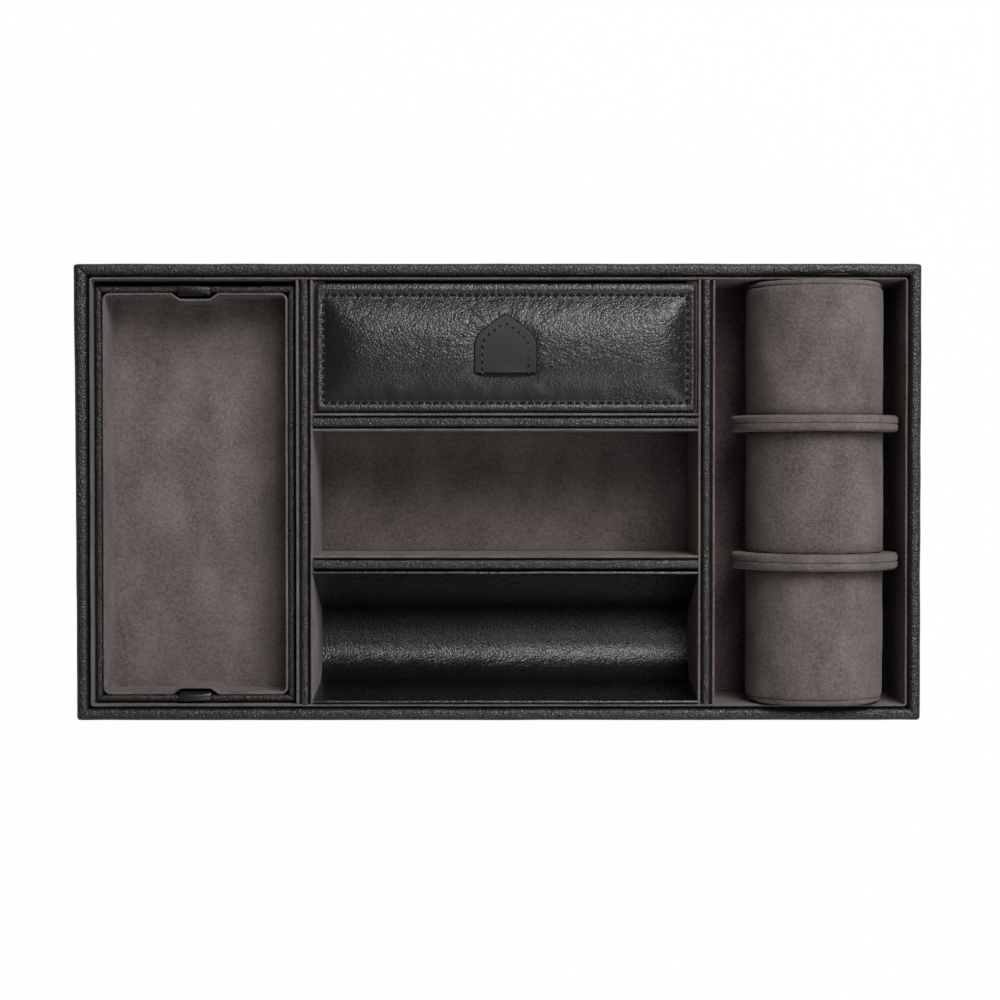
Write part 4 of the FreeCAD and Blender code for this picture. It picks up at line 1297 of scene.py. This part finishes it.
@dataclass
class LiftOutTray:
    """The shallow tray in the left bay, with a pull tab behind the lining at each end."""

    wall: float = 3.1 * MM
    skin: float = 0.6 * MM
    flap: float = 6 * MM
    hem: float = 3 * MM
    edge: float = 1.1 * MM
    corner: float = 1.4 * MM
    lining: float = 1.0 * MM
    lining_corner: float = 3.2 * MM
    lining_room: float = 0.5 * MM
    bulge_depth: float = 2.6 * MM
    bulge_wall: float = 20.4 * MM
    bulge_crest: float = 13.0 * MM
    strap: float = 1.5 * MM
    strap_bend: float = 1.7 * MM

    def build(self) -> None:
        """Builds and dresses every piece of the tray."""
        wrap = MitredWrap("tray_wrap", Extent.of("insert_leather"), self.wall, self.skin, self.flap,
                          self.hem, self.edge, self.corner, puff=0.15 * MM)
        for side in Side:
            dress(wrap.bar(side), Body.TRAY, TRAY_LEATHER, "insert_leather")
        cover = soft_block("tray_underside", Extent.of("insert_cover"), 1.2 * MM, 0.3 * MM, gap=8 * MM)
        dress(cover, Body.TRAY, TRAY_LEATHER, "insert_cover")
        self.build_lining()
        inner = Extent.of("insert_lining").widened(-self.lining)
        floor = Extent(inner.low, Vector((*inner.high.xy, Extent.of("insert_floor_pad").high.z)))
        pad = soft_block("tray_floor_suede", floor, 2.2 * MM, 0.6 * MM, 0.25 * MM)
        dress(waver(pad, 0.1 * MM, 24 * MM, 5), Body.TRAY, SUEDE, "insert_floor_pad", fill=0.9)
        self.build_tab("front", Side.FRONT)
        self.build_tab("back", Side.BACK)
        keep_node(BOARD, "insert_base", *(f"insert_wall_{side.label}" for side in Side))

    def build_lining(self) -> None:
        """Lays the suede strip, which bulges inwards round each pull tab."""
        extent = Extent.of("insert_lining").widened(-self.lining_room)
        low, high, middle = extent.low, extent.high, extent.centre.x
        wall, crest, soft = self.bulge_wall / 2, self.bulge_crest / 2, 2.2 * MM
        corner = self.lining_corner
        front, rear = low.y + self.bulge_depth, high.y - self.bulge_depth
        path = spaced(rounded([
            (low.x, low.y, corner), (middle - wall, low.y, soft), (middle - crest, front, soft),
            (middle + crest, front, soft), (middle + wall, low.y, soft), (high.x, low.y, corner),
            (high.x, high.y, corner), (middle + wall, high.y, soft), (middle + crest, rear, soft),
            (middle - crest, rear, soft), (middle - wall, high.y, soft), (low.x, high.y, corner)]),
            5 * MM)
        section = strip_section(self.lining, high.z - low.z, 0.42 * MM, 0.0)
        obj = sweep("tray_suede", section, loop_stations(path, low.z), closed=True)
        dress(waver(obj, 0.09 * MM, 18 * MM, 6), Body.TRAY, SUEDE, "insert_lining")

    def build_tab(self, name: str, side: Side) -> None:
        """Bends a leather strap out over the rim.

        Args:
            name: The end's name in the CAD nodes.
            side: The tray's side that the strap is on.
        """
        node = f"insert_tab_{name}"
        extent = Extent.of(node)
        rim = Extent.of("insert_leather").high.z
        thick, bend = self.strap, self.strap_bend
        outward = side.outward
        inside = extent.low if side is Side.BACK else extent.high
        start = Vector((extent.centre.x, inside.y, 0.0)) + outward * (thick / 2 + 0.15 * MM)
        reach = 2 * extent.half.y - thick - bend - 0.3 * MM
        path = [(start + UP * height, outward) for height in even_steps(extent.low.z, rim - 0.8 * MM, 2 * MM)]
        top = rim - 0.8 * MM
        heart = start + outward * bend + UP * top
        for turn in (math.radians(step * 12) for step in range(1, 9)):
            out = -outward * math.cos(turn) + UP * math.sin(turn)
            path.append((heart + out * bend, -out))
        last, inward = path[-1]
        run = UP.cross(inward).cross(inward).normalized()
        run = run if run.dot(outward) > 0 else -run
        path += [(last + run * distance, inward) for distance in even_steps(0.6 * MM, reach, 0.6 * MM)]
        half_wide = extent.half.x
        outline = spaced(rounded([
            (-half_wide, -thick / 2, 0.6 * MM), (half_wide, -thick / 2, 0.6 * MM),
            (half_wide, thick / 2, 0.6 * MM), (-half_wide, thick / 2, 0.6 * MM)]), 1.5 * MM)
        across = Vector((1.0, 0.0, 0.0))
        obj = sweep(f"tray_pull_{name}", outline, [Station(at, across, up) for at, up in path])
        for vertex in obj.data.vertices:
            sideways = (vertex.co.x - extent.centre.x) / half_wide
            lift = max(0.0, (vertex.co.z - rim) / (2 * MM))
            vertex.co.z += lift * (0.5 * MM * (1 - sideways ** 2) - 0.35 * MM * sideways - 0.3 * MM)
            vertex.co += outward * (max(0.0, min(1.0, lift)) * -0.5 * MM * sideways)
        dress(waver(obj, 0.12 * MM, 6 * MM, 9), Body.TRAY, STRAP_LEATHER, node, sharp=60)


# The lid


@dataclass
class Lid:
    """The padded lid: a rolled edge, a stitched channel, a crowned middle and a pull tab.

    Attributes:
        margin: The distance of the stitches from the left and right edges.
        margin_front: Their distance from the front edge.
        margin_back: Their distance from the back edge.
        groove: Half of the width of the channel that the stitches lie in.
        crown: How far the middle rises over the edge.
        rise: The distance over which it rises.
        tab_half: Half of the tab's width.
        tab_front: The distance of the tab's open edge in front of the lid's middle.
        tab_side: The length of its straight sides.
        tab_rise: The height of its pointed arch.
        tab_shoulder: The radius of the arch's shoulders.
        tab_tip: The half width over which its tip is blunted.
        tab_seam: The distance of its stitches from its edge.
        crevice: The width of the painted shadow round it, a near-black sheet where the gap under its edge is in
            shade.
        mouth: The width of that painted shadow in front of its open edge.
    """

    edge: float = 1.3 * MM
    corner: float = 1.9 * MM
    margin: float = 3.6 * MM
    margin_front: float = 3.8 * MM
    margin_back: float = 5.4 * MM
    roll: float = 0.8 * MM
    channel: float = 0.5 * MM
    groove: float = 0.8 * MM
    crown: float = 6.2 * MM
    rise: float = 20 * MM
    pitch: float = 3.46 * MM
    tab_half: float = 13.4 * MM
    tab_front: float = 11.3 * MM
    tab_side: float = 10.9 * MM
    tab_rise: float = 15.3 * MM
    tab_shoulder: float = 10.0 * MM
    tab_tip: float = 2.6 * MM
    tab_seam: float = 3.3 * MM
    tab_thick: float = 1.0 * MM
    # A near-black sheet of painted shadow rings the tab, widest in front of its open edge.
    crevice: float = 0.4 * MM
    mouth: float = 1.7 * MM
    stitches: StitchNodes = field(default_factory=StitchNodes)

    def __post_init__(self) -> None:
        """Reads the lid's place from the frame."""
        self.extent = Extent.of("lid_leather")
        self.board = Extent.of("lid_board")
        self.middle = self.extent.centre
        self.flange = self.board.high.z + 0.9 * MM
        self.half = self.extent.half
        self.seam_low = Vector((self.margin - self.half.x, self.margin_front - self.half.y))
        self.seam_high = Vector((self.half.x - self.margin, self.half.y - self.margin_back))

    def inside_seam(self, x: float, y: float) -> float:
        """How far a point lies inside the stitched line, below zero outside it."""
        return min(x - self.seam_low.x, self.seam_high.x - x, y - self.seam_low.y, self.seam_high.y - y)

    def slope_turn(self) -> float:
        """How far a shoulder of the tab turns before it runs straight to the tip."""
        across = self.tab_half - self.tab_shoulder
        return math.atan2(across, self.tab_rise) + math.asin(
            self.tab_shoulder / math.hypot(across, self.tab_rise))

    def arch(self, inset: float, gap: float) -> Outline:
        """The tab's outline from its lower left round to its lower right.

        Args:
            inset: How far inside the tab's edge the line runs.
            gap: The longest step.

        Returns:
            The open line, with x and y from the lid's middle.
        """
        front = -self.tab_front
        shoulder = front + self.tab_side
        across, radius, turn = self.tab_half - self.tab_shoulder, self.tab_shoulder - inset, self.slope_turn()
        tip = shoulder + (radius + across * math.cos(turn)) / math.sin(turn)
        right = [(across + radius, y) for y in even_steps(front, shoulder, gap)]
        right += [(across + radius * math.cos(angle), shoulder + radius * math.sin(angle))
                  for angle in even_steps(0.0, turn, gap / radius)[1:]]
        last = right[-1]
        run = math.dist(last, (0.0, tip))
        right += [(last[0] * (1 - share), last[1] + (tip - last[1]) * share)
                  for share in even_steps(0.0, 1.0, gap / run)[1:]]
        blunt = [(x, y - max(0.0, 1 - x / self.tab_tip) ** 2 * self.tab_tip * 0.25) for x, y in right]
        return [(-x, y) for x, y in blunt] + blunt[-2::-1]

    def in_tab(self, x: float, y: float) -> float:
        """How far a point lies inside the tab's outline, below zero outside it."""
        turn = self.slope_turn()
        aside, over = abs(x) - self.tab_half + self.tab_shoulder, y + self.tab_front - self.tab_side
        if over <= 0:
            return min(self.tab_half - abs(x), y + self.tab_front)
        if aside > 0 and math.atan2(over, aside) < turn:
            return self.tab_shoulder - math.hypot(aside, over)
        return self.tab_shoulder - aside * math.cos(turn) - over * math.sin(turn)

    def top(self, x: float, y: float) -> float:
        """The crowned middle's height over the stitched channel, before it is puffed up."""
        depths = (x - self.seam_low.x, self.seam_high.x - x, y - self.seam_low.y, self.seam_high.y - y)
        if min(depths) <= self.groove:
            return self.flange - self.channel
        depth = sum((side - self.groove) ** -3 for side in depths) ** (-1 / 3)
        swell = 1 - (1 - min(1.0, depth / self.rise)) ** 2
        return self.flange - self.channel + (self.crown + self.channel) * swell

    def height(self, x: float, y: float, depth: float) -> float:
        """The whole cover's height: rolled edge, channel and crowned middle."""
        inside = self.inside_seam(x, y)
        if inside >= 0:
            return self.top(x, y)
        margin = depth - inside - self.groove
        share = min(1.0, max(0.0, depth / margin))
        roll = math.sin(math.pi * share ** 2.2) * self.roll
        drop = self.channel * share ** 3
        return self.flange + roll - drop - round_over(depth, self.edge)

    def build(self) -> None:
        """Builds and dresses every piece of the lid."""
        cover = self.build_cover()
        self.build_tab(cover)
        lining = Extent.of("lid_lining")
        pad = soft_block("lid_suede", lining, 2.5 * MM, 0.6 * MM)
        for vertex in pad.data.vertices:
            vertex.co.z = lining.low.z + lining.high.z - vertex.co.z
        flip_faces(pad)
        dress(pad, Body.LID, SUEDE, "lid_lining", fill=0.9)
        keep_node(BOARD, "lid_board")

    def build_cover(self) -> bpy.types.Object:
        """Makes the cushioned cover with its grain marks and its stitches."""
        whole = Extent(self.extent.low, Vector((self.extent.high.x, self.extent.high.y, self.flange)))
        cover = upholstered("lid_cover", whole, self.corner, 1.1 * MM, self.height, self.edge)
        places = [(vertex.co.x - self.middle.x, vertex.co.y - self.middle.y)
                  for vertex in cover.data.vertices]
        held = [index for index, (x, y) in enumerate(places)
                if self.inside_seam(x, y) < 0.5 * MM or self.in_tab(x, y) > -0.4 * MM
                or cover.data.vertices[index].co.z < self.flange - 1 * MM]
        inflate(cover, held, 4.0, 0.35 * MM, spare=0.003)
        self.crease(cover)
        self.mark_grain(cover)
        dress(cover, Body.LID, LID_LEATHER, "lid_leather", "lid_foam", fill=0.85)
        corners = [(self.seam_low.x, self.seam_low.y, 1.4 * MM), (self.seam_high.x, self.seam_low.y, 1.4 * MM),
                   (self.seam_high.x, self.seam_high.y, 1.4 * MM), (self.seam_low.x, self.seam_high.y, 1.4 * MM)]
        surface = Ground(cover)
        line = [self.on_cover(surface, Vector(point)) for point in spaced(rounded(corners), 1.2 * MM)]
        self.sew("lid_edge", line, True, self.pitch, (1.7 * MM, 0.75 * MM, 1.1 * MM),
                 (2.5 * MM, 2.1 * MM, 0.75 * MM))
        return cover

    def crease(self, cover: bpy.types.Object) -> None:
        """Presses the leather in round the tab and draws creases out from it."""
        for vertex in cover.data.vertices:
            x, y = vertex.co.x - self.middle.x, vertex.co.y - self.middle.y
            inside = self.inside_seam(x, y)
            if inside <= 0:
                continue
            beyond = -self.in_tab(x, y)
            free = min(1.0, inside / (6 * MM))
            dent = -0.5 * MM * math.exp(-max(0.0, beyond) / (2.2 * MM))
            angle = math.atan2(y + 2 * MM, x)
            swing = noise.noise(Vector((angle * 7.0, beyond * 60.0, 2.0)))
            fade = math.exp(-max(0.0, beyond) / (12 * MM)) * min(1.0, max(0.0, beyond) / (1.5 * MM))
            fade *= min(1.0, max(0.1, 1 + (y + self.tab_front) / (5 * MM)))
            slack = noise.noise(Vector((x / (11 * MM), y / (8 * MM), 5.0)))
            sides = (min(x - self.seam_low.x, self.seam_high.x - x), min(y - self.seam_low.y, self.seam_high.y - y))
            pull = sum(self._tug(along, depth, other) for along, depth, other in
                       ((y, sides[0], sides[1]), (x, sides[1], sides[0])))
            vertex.co.z += free * (dent + swing * fade * 0.45 * MM + slack * 0.18 * MM) + pull

    @staticmethod
    def _tug(along: float, depth: float, other: float) -> float:
        """The small folds that the stitches pull into one side of the cover."""
        if depth > 9 * MM:
            return 0.0
        fold = noise.noise(Vector((along / (4.2 * MM), depth / (14 * MM), 8.0)))
        return fold * math.sin(math.pi * depth / (9 * MM)) * min(1.0, other / (9 * MM)) * 0.16 * MM

    def mark_grain(self, cover: bpy.types.Object) -> None:
        """Paints where the leather is smooth or strained, and lays a map that turns the grain."""
        mesh = cover.data
        smooth = mesh.attributes.new("smooth", "FLOAT", "POINT")
        strain = mesh.attributes.new("strain", "FLOAT", "POINT")
        for index, vertex in enumerate(mesh.vertices):
            x, y = vertex.co.x - self.middle.x, vertex.co.y - self.middle.y
            front = (y - self.seam_low.y) / (13 * MM)
            wobble = noise.noise(Vector((x / (16 * MM), y / (16 * MM), 1.0))) * 0.3
            quilted = self.inside_seam(x, y) > 0
            rightwards = min(1.0, max(0.25, (62 * MM - x) / (30 * MM)))
            smooth.data[index].value = 0.85 * quilted * rightwards * min(1.0, max(0.0, 1.35 - front + wobble))
            beyond = max(0.0, -self.in_tab(x, y))
            near = math.exp(-beyond / (13 * MM))
            behind = min(1.0, max(0.0, 1 + (y + self.tab_front) / (5 * MM)))
            strain.data[index].value = near * behind * (0.6 + 0.4 * (y - x > 0))
        drawn = mesh.attributes.new("drawn", "FLOAT_VECTOR", "POINT")
        for index, vertex in enumerate(mesh.vertices):
            x, y = vertex.co.x - self.middle.x, vertex.co.y - self.middle.y
            reach = max(1 * MM, math.hypot(x, y))
            drawn.data[index].vector = (x / reach * 24 * MM, y / reach * 24 * MM, reach * 0.22)

    def sew(self, name: str, line: Sequence[Vector], closed: bool, pitch: float,
            stitch: tuple[float, float, float], hole: tuple[float, float, float]) -> None:
        """Lays thread stitches along a line and, between each two, a near-black bead that paints the shade of a
        needle hole.

        Args:
            name: The first name of the pieces.
            line: The line's points, on the leather.
            closed: Whether the line is a loop.
            pitch: The distance from stitch to stitch.
            stitch: A stitch's length, width and height.
            hole: The length, width and height of the bead that paints a hole's shade.
        """
        thread = self.stitches.lay(f"{name}_stitches", line, closed, THREAD, pitch, stitch, 0.5, 3)
        dress(thread, Body.LID, THREAD)
        # Painted shade: near-black beads stand for the dark of the needle holes between the stitches.
        hole_shades = self.stitches.lay(f"{name}_holes", shift_along(line, pitch / 2, closed), closed,
                                  PAINTED_SHADE, pitch, hole, 0.3, 5)
        dress(hole_shades, Body.LID, PAINTED_SHADE)

    def build_tab(self, cover: bpy.types.Object) -> None:
        """Lays the pointed leather tab on the cover, with its open front edge lifted a little."""
        edge = self.arch(0.0, 1.2 * MM)
        front = -self.tab_front
        base = [(x, front) for x in even_steps(-self.tab_half, self.tab_half, 1.2 * MM)]
        loop = edge[::-1] + base[1:-1]
        surface = Ground(cover)
        rings = []
        heart = Vector((0.0, -self.tab_front + self.tab_side * 0.6))
        thick = self.tab_thick
        for shrink, lift in ((0.0, 0.0), (0.0, thick * 0.6), (0.008, thick * 0.88), (0.02, thick * 0.98),
                             (0.032, thick), (0.06, thick), (0.12, thick), (0.2, thick), (0.35, thick),
                             (0.5, thick), (0.65, thick), (0.8, thick), (0.92, thick), (1.0, thick)):
            ring = []
            for x, y in loop:
                spot = Vector((x, y)).lerp(heart, shrink)
                ring.append(self.on_tab(surface, spot, lift))
            rings.append(ring)
        obj = loft("lid_tab_leather", rings)
        waver(obj, 0.08 * MM, 7 * MM, 12, (0.3, 0.3, 1.0))
        dress(obj, Body.LID, SMOOTH_LEATHER, "lid_tab")
        self.build_crevice(surface)
        seam = [self.on_tab(surface, Vector(point), thick + 0.02 * MM)
                for point in self.arch(self.tab_seam, 0.8 * MM)]
        self.sew("lid_tab", seam, False, 3.05 * MM, (1.7 * MM, 0.55 * MM, 0.5 * MM),
                 (1.7 * MM, 1.0 * MM, 0.45 * MM))

    def build_crevice(self, surface: "Ground") -> None:
        """Lays a near-black sheet round the tab, widest in front of its open edge: painted shadow for the gap under
        its edge.
        """
        sides = self.arch(-self.crevice, 1.2 * MM)
        half = sides[-1][0]
        open_edge = [(x, -self.tab_front - self.mouth * max(0.0, 1 - (x / half) ** 4) ** 0.5)
                     for x in even_steps(-half, half, 1.2 * MM)]
        loop = sides[::-1] + open_edge[1:-1]
        heart = Vector((0.0, -self.tab_front + self.tab_side * 0.6))
        rings = [[self.on_tab(surface, Vector(point).lerp(heart, shrink), lift) for point in loop]
                 for shrink, lift in ((0.0, -0.1 * MM), (0.0, 0.12 * MM), (0.1, 0.15 * MM), (1.0, 0.15 * MM))]
        dress(loft("lid_tab_crevice", rings), Body.LID, PAINTED_SHADE)

    def on_cover(self, surface: "Ground", spot: Vector) -> Vector:
        """The point of the cover that lies at a place in plan."""
        x, y = self.middle.x + spot.x, self.middle.y + spot.y
        return Vector((x, y, surface.height(x, y)))

    def on_tab(self, surface: "Ground", spot: Vector, lift: float) -> Vector:
        """A point of the tab over the cover, raised where the tab's open edge arches up."""
        open_edge = max(0.0, 1 - (spot.y + self.tab_front) / (5 * MM))
        arch = max(0.0, 1 - (spot.x / (self.tab_half - self.tab_seam)) ** 2)
        return self.on_cover(surface, spot) + UP * (lift + 0.9 * MM * arch * open_edge ** 1.5)


class Ground:
    """Reads how high a mesh's top is at a point in plan."""

    def __init__(self, obj: bpy.types.Object) -> None:
        """Prepares a mesh for looking down on it.

        Args:
            obj: The object, at the origin.
        """
        from mathutils.bvhtree import BVHTree

        mesh = obj.data
        self.tree = BVHTree.FromPolygons([vertex.co for vertex in mesh.vertices],
                                         [tuple(face.vertices) for face in mesh.polygons])

    def height(self, x: float, y: float) -> float:
        """The height at (x, y)."""
        hit = self.tree.ray_cast(Vector((x, y, 1.0)), -UP)[0]
        return hit.z


def shift_along(line: Sequence[Vector], distance: float, closed: bool) -> list[Vector]:
    """The same line, started a little further on.

    Args:
        line: The line's points.
        distance: How far on it starts.
        closed: Whether the line is a loop.

    Returns:
        The new points.
    """
    points = list(line) + ([line[0]] if closed else [])
    gone = 0.0
    for index, (start, end) in enumerate(zip(points, points[1:])):
        step = (end - start).length
        if gone + step > distance:
            first = start.lerp(end, (distance - gone) / step)
            rest = points[index + 1:]
            return [first, *rest[:-1], *points[:index + 1]] if closed else [first, *rest]
        gone += step
    return points


def flip_faces(obj: bpy.types.Object) -> None:
    """Points a mirrored mesh's faces outwards again."""
    work = bmesh.new()
    work.from_mesh(obj.data)
    bmesh.ops.recalc_face_normals(work, faces=work.faces)
    work.to_mesh(obj.data)
    work.free()


# The watch cuff


@dataclass
class WatchCuff:
    """The padded roll: three sleeves between two pairs of flanges and two ends."""

    swell: float = 0.4 * MM
    sleeve_edge: float = 1.2 * MM
    disc_edge: float = 1.7 * MM
    seam_edge: float = 0.7 * MM
    flange_trim: float = 0.5 * MM
    overlap: float = 1.1 * MM
    bore: float = 24.15 * MM
    around: int = 112

    def __post_init__(self) -> None:
        """Reads the axis from the frame."""
        self.axis = Extent.of("cuff_tube").centre

    def turned(self, name: str, outline: Outline) -> bpy.types.Object:
        """Turns an outline of (radius, place along Y) about the cuff's axis."""
        stations = []
        for step in range(self.around):
            angle = math.tau * step / self.around
            across = Vector((math.cos(angle), 0.0, math.sin(angle)))
            stations.append(Station(Vector((self.axis.x, 0.0, self.axis.z)), across, Vector((0, 1, 0))))
        return sweep(name, outline, stations, closed=True)

    def build(self) -> None:
        """Builds and dresses every piece of the cuff."""
        for name, seed in (("front", 21), ("middle", 25), ("rear", 29)):
            self.build_sleeve(name, seed)
        for seed, name in enumerate(("front_inner", "rear_outer"), start=31):
            self.build_disc(f"cuff_flange_{name}", seed, self.bore, self.seam_edge, self.disc_edge)
        for seed, name in enumerate(("front_outer", "rear_inner"), start=33):
            self.build_disc(f"cuff_flange_{name}", seed, self.bore, self.disc_edge, self.seam_edge)
        self.build_disc("cuff_end_front", 41, 0.0, self.disc_edge, self.seam_edge)
        self.build_disc("cuff_end_rear", 42, 0.0, self.seam_edge, self.disc_edge)
        keep_node(CARD, "cuff_tube")

    def build_sleeve(self, name: str, seed: int) -> None:
        """Pads one sleeve and lets it swell between its neighbours.

        Args:
            name: The sleeve's name in the CAD nodes.
            seed: The seed of its small differences.
        """
        node = f"cuff_sleeve_{name}"
        extent = Extent.of(node)
        radius = extent.half.x - self.swell
        low = extent.low.y - (self.overlap if name == "front" else 0.0)
        high = extent.high.y + (self.overlap if name == "rear" else 0.0)
        corners = [(self.bore, low, 0.0), (radius, low, self.sleeve_edge),
                   (radius, high, self.sleeve_edge), (self.bore, high, 0.0)]
        outline = spaced(rounded(corners), 2.4 * MM)
        outline = [point for point in outline if point[0] > self.bore or point[1] in (low, high)]
        obj = self.turned(f"cuff_pad_{name}", outline)
        held = [vertex.index for vertex in obj.data.vertices
                if min(vertex.co.y - low, high - vertex.co.y) < 0.9 * MM
                or math.hypot(vertex.co.x - self.axis.x, vertex.co.z - self.axis.z) < self.bore + 1 * MM]
        inflate(obj, held, 6.0, self.swell, spare=0.004)
        waver(obj, 0.42 * MM, 13 * MM, seed)
        waver(obj, 0.08 * MM, 6 * MM, seed + 1)
        dress(obj, Body.CUFF, SUEDE, node, fill=0.9)

    def build_disc(self, node: str, seed: int, bore: float, front_edge: float, rear_edge: float) -> None:
        """Covers one disc with suede.

        Args:
            node: The CAD node that it stands for.
            seed: The seed of its small differences.
            bore: The radius of its hole, or 0.
            front_edge: The radius of its front edge.
            rear_edge: The radius of its rear edge.
        """
        extent = Extent.of(node)
        radius, low, high = extent.half.x, extent.low.y, extent.high.y
        radius -= self.flange_trim if bore else self.swell
        low += self.overlap if node == "cuff_end_rear" else 0.0
        high -= self.overlap if node == "cuff_end_front" else 0.0
        corners = [(bore, low, 0.0), (radius, low, front_edge), (radius, high, rear_edge),
                   (bore, high, 0.0)]
        obj = self.turned(node.replace("cuff_", "cuff_suede_"), spaced(rounded(corners), 3 * MM))
        waver(obj, 0.12 * MM, 15 * MM, seed)
        dress(obj, Body.CUFF, SUEDE, node, fill=0.95)


# The stage


@dataclass
class Studio:
    """The floor, the lights and the camera.

    Attributes:
        eye: Where the camera stands.
        aim: The point that it looks at.
        lens: Its focal length in millimetres.
        floor_half: Half of the floor's side.
        floor_glow: How much of the floor's white shines by itself.
        fill: The strength of the light from all round.
    """

    eye: Vector = field(default_factory=lambda: Vector((-0.2, 14.6, 960.0)) * MM)
    aim: Vector = field(default_factory=lambda: Vector((0.66, -3.3, 60.0)) * MM)
    lens: float = 74.1
    floor_half: float = 2.5
    floor_glow: float = 0.985
    fill: float = 0.105

    def build(self) -> None:
        """Sets up the whole stage."""
        self.build_floor()
        self.build_world()
        self.build_lights()
        self.build_camera()
        bpy.context.scene.view_settings.view_transform = "Standard"

    def build_floor(self) -> None:
        """Lays a pale floor that is white to the camera and keeps the object's shadow."""
        half = self.floor_half
        corners = [Vector((-half, -half, 0)), Vector((half, -half, 0)), Vector((half, half, 0)),
                   Vector((-half, half, 0))]
        floor = new_object("floor", corners, [(0, 1, 2, 3)])
        shader = Shader(bpy.data.materials.new("paper_floor"))
        mottle = shader.noise(0.4, 2.0)
        colour = shader.mix((0.8, 0.8, 0.8), (0.82, 0.82, 0.82), mottle)
        matte = shader.node("ShaderNodeBsdfDiffuse", None, {"Color": colour})
        glow = shader.node("ShaderNodeEmission", None, {"Strength": 1.0})
        seen = shader.node("ShaderNodeLightPath", output="Is Camera Ray")
        both = shader.node("ShaderNodeMixShader", None, {0: seen * self.floor_glow, 1: matte, 2: glow})
        shader.node("ShaderNodeOutputMaterial", None, {"Surface": both})
        floor.data.materials.append(shader.owner)

    def build_world(self) -> None:
        """Fills the room with soft light that the camera sees as white."""
        world = bpy.data.worlds.new("studio")
        shader = Shader(world)
        fill = shader.node("ShaderNodeBackground", None, {"Color": (1, 1, 1, 1), "Strength": self.fill})
        white = shader.node("ShaderNodeBackground", None, {"Color": (1, 1, 1, 1), "Strength": 1.0})
        seen = shader.node("ShaderNodeLightPath", output="Is Camera Ray")
        both = shader.node("ShaderNodeMixShader", None, {0: seen, 1: fill, 2: white})
        shader.node("ShaderNodeOutputWorld", None, {"Surface": both})
        bpy.context.scene.world = world

    def build_lights(self) -> None:
        """Hangs a soft key light behind and to the right, and a weak one in front."""
        self.hang("key_light", Vector((0.75, 1.25, 1.55)), 1.1, 35.0)
        self.hang("front_light", Vector((0.8, -1.3, 1.6)), 1.0, 10.0)
        self.hang("low_light", Vector((0.3, -0.6, 2.1)), 0.8, 2.5)
        self.hang("top_light", Vector((0.25, 0.8, 2.0)), 0.6, 4.5)

    def hang(self, name: str, place: Vector, side: float, power: float) -> None:
        """Hangs a square area light that faces the object.

        Args:
            name: The light's name.
            place: Where it hangs.
            side: The length of its side.
            power: Its power in watts.
        """
        light = bpy.data.lights.new(name, "AREA")
        light.shape = "SQUARE"
        light.size = side
        light.energy = power
        obj = bpy.data.objects.new(name, light)
        obj.location = place
        obj.rotation_euler = (-place).to_track_quat("-Z", "Y").to_euler()
        bpy.context.scene.collection.objects.link(obj)

    def build_camera(self) -> None:
        """Stands the camera over the tray."""
        camera = bpy.data.cameras.new("camera")
        camera.sensor_width = 36.0
        camera.lens = self.lens
        camera.clip_end = 20.0
        obj = bpy.data.objects.new("camera", camera)
        ahead = (self.aim - self.eye).normalized()
        right = ahead.cross(Vector((0.0, 1.0, 0.0))).normalized()
        obj.matrix_world = Matrix.Translation(self.eye) @ Matrix(
            (right, right.cross(ahead), -ahead)).transposed().to_4x4()
        bpy.context.scene.collection.objects.link(obj)
        bpy.context.scene.camera = obj


def main() -> None:
    """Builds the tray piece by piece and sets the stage."""
    logging.basicConfig(level=logging.INFO, format="%(name)s: %(message)s")
    Studio().build()
    for part in (Case(), LiftOutTray(), Lid(), WatchCuff()):
        LOG.info("building %s", type(part).__name__)
        part.build()


if __name__ == "__main__":
    main()
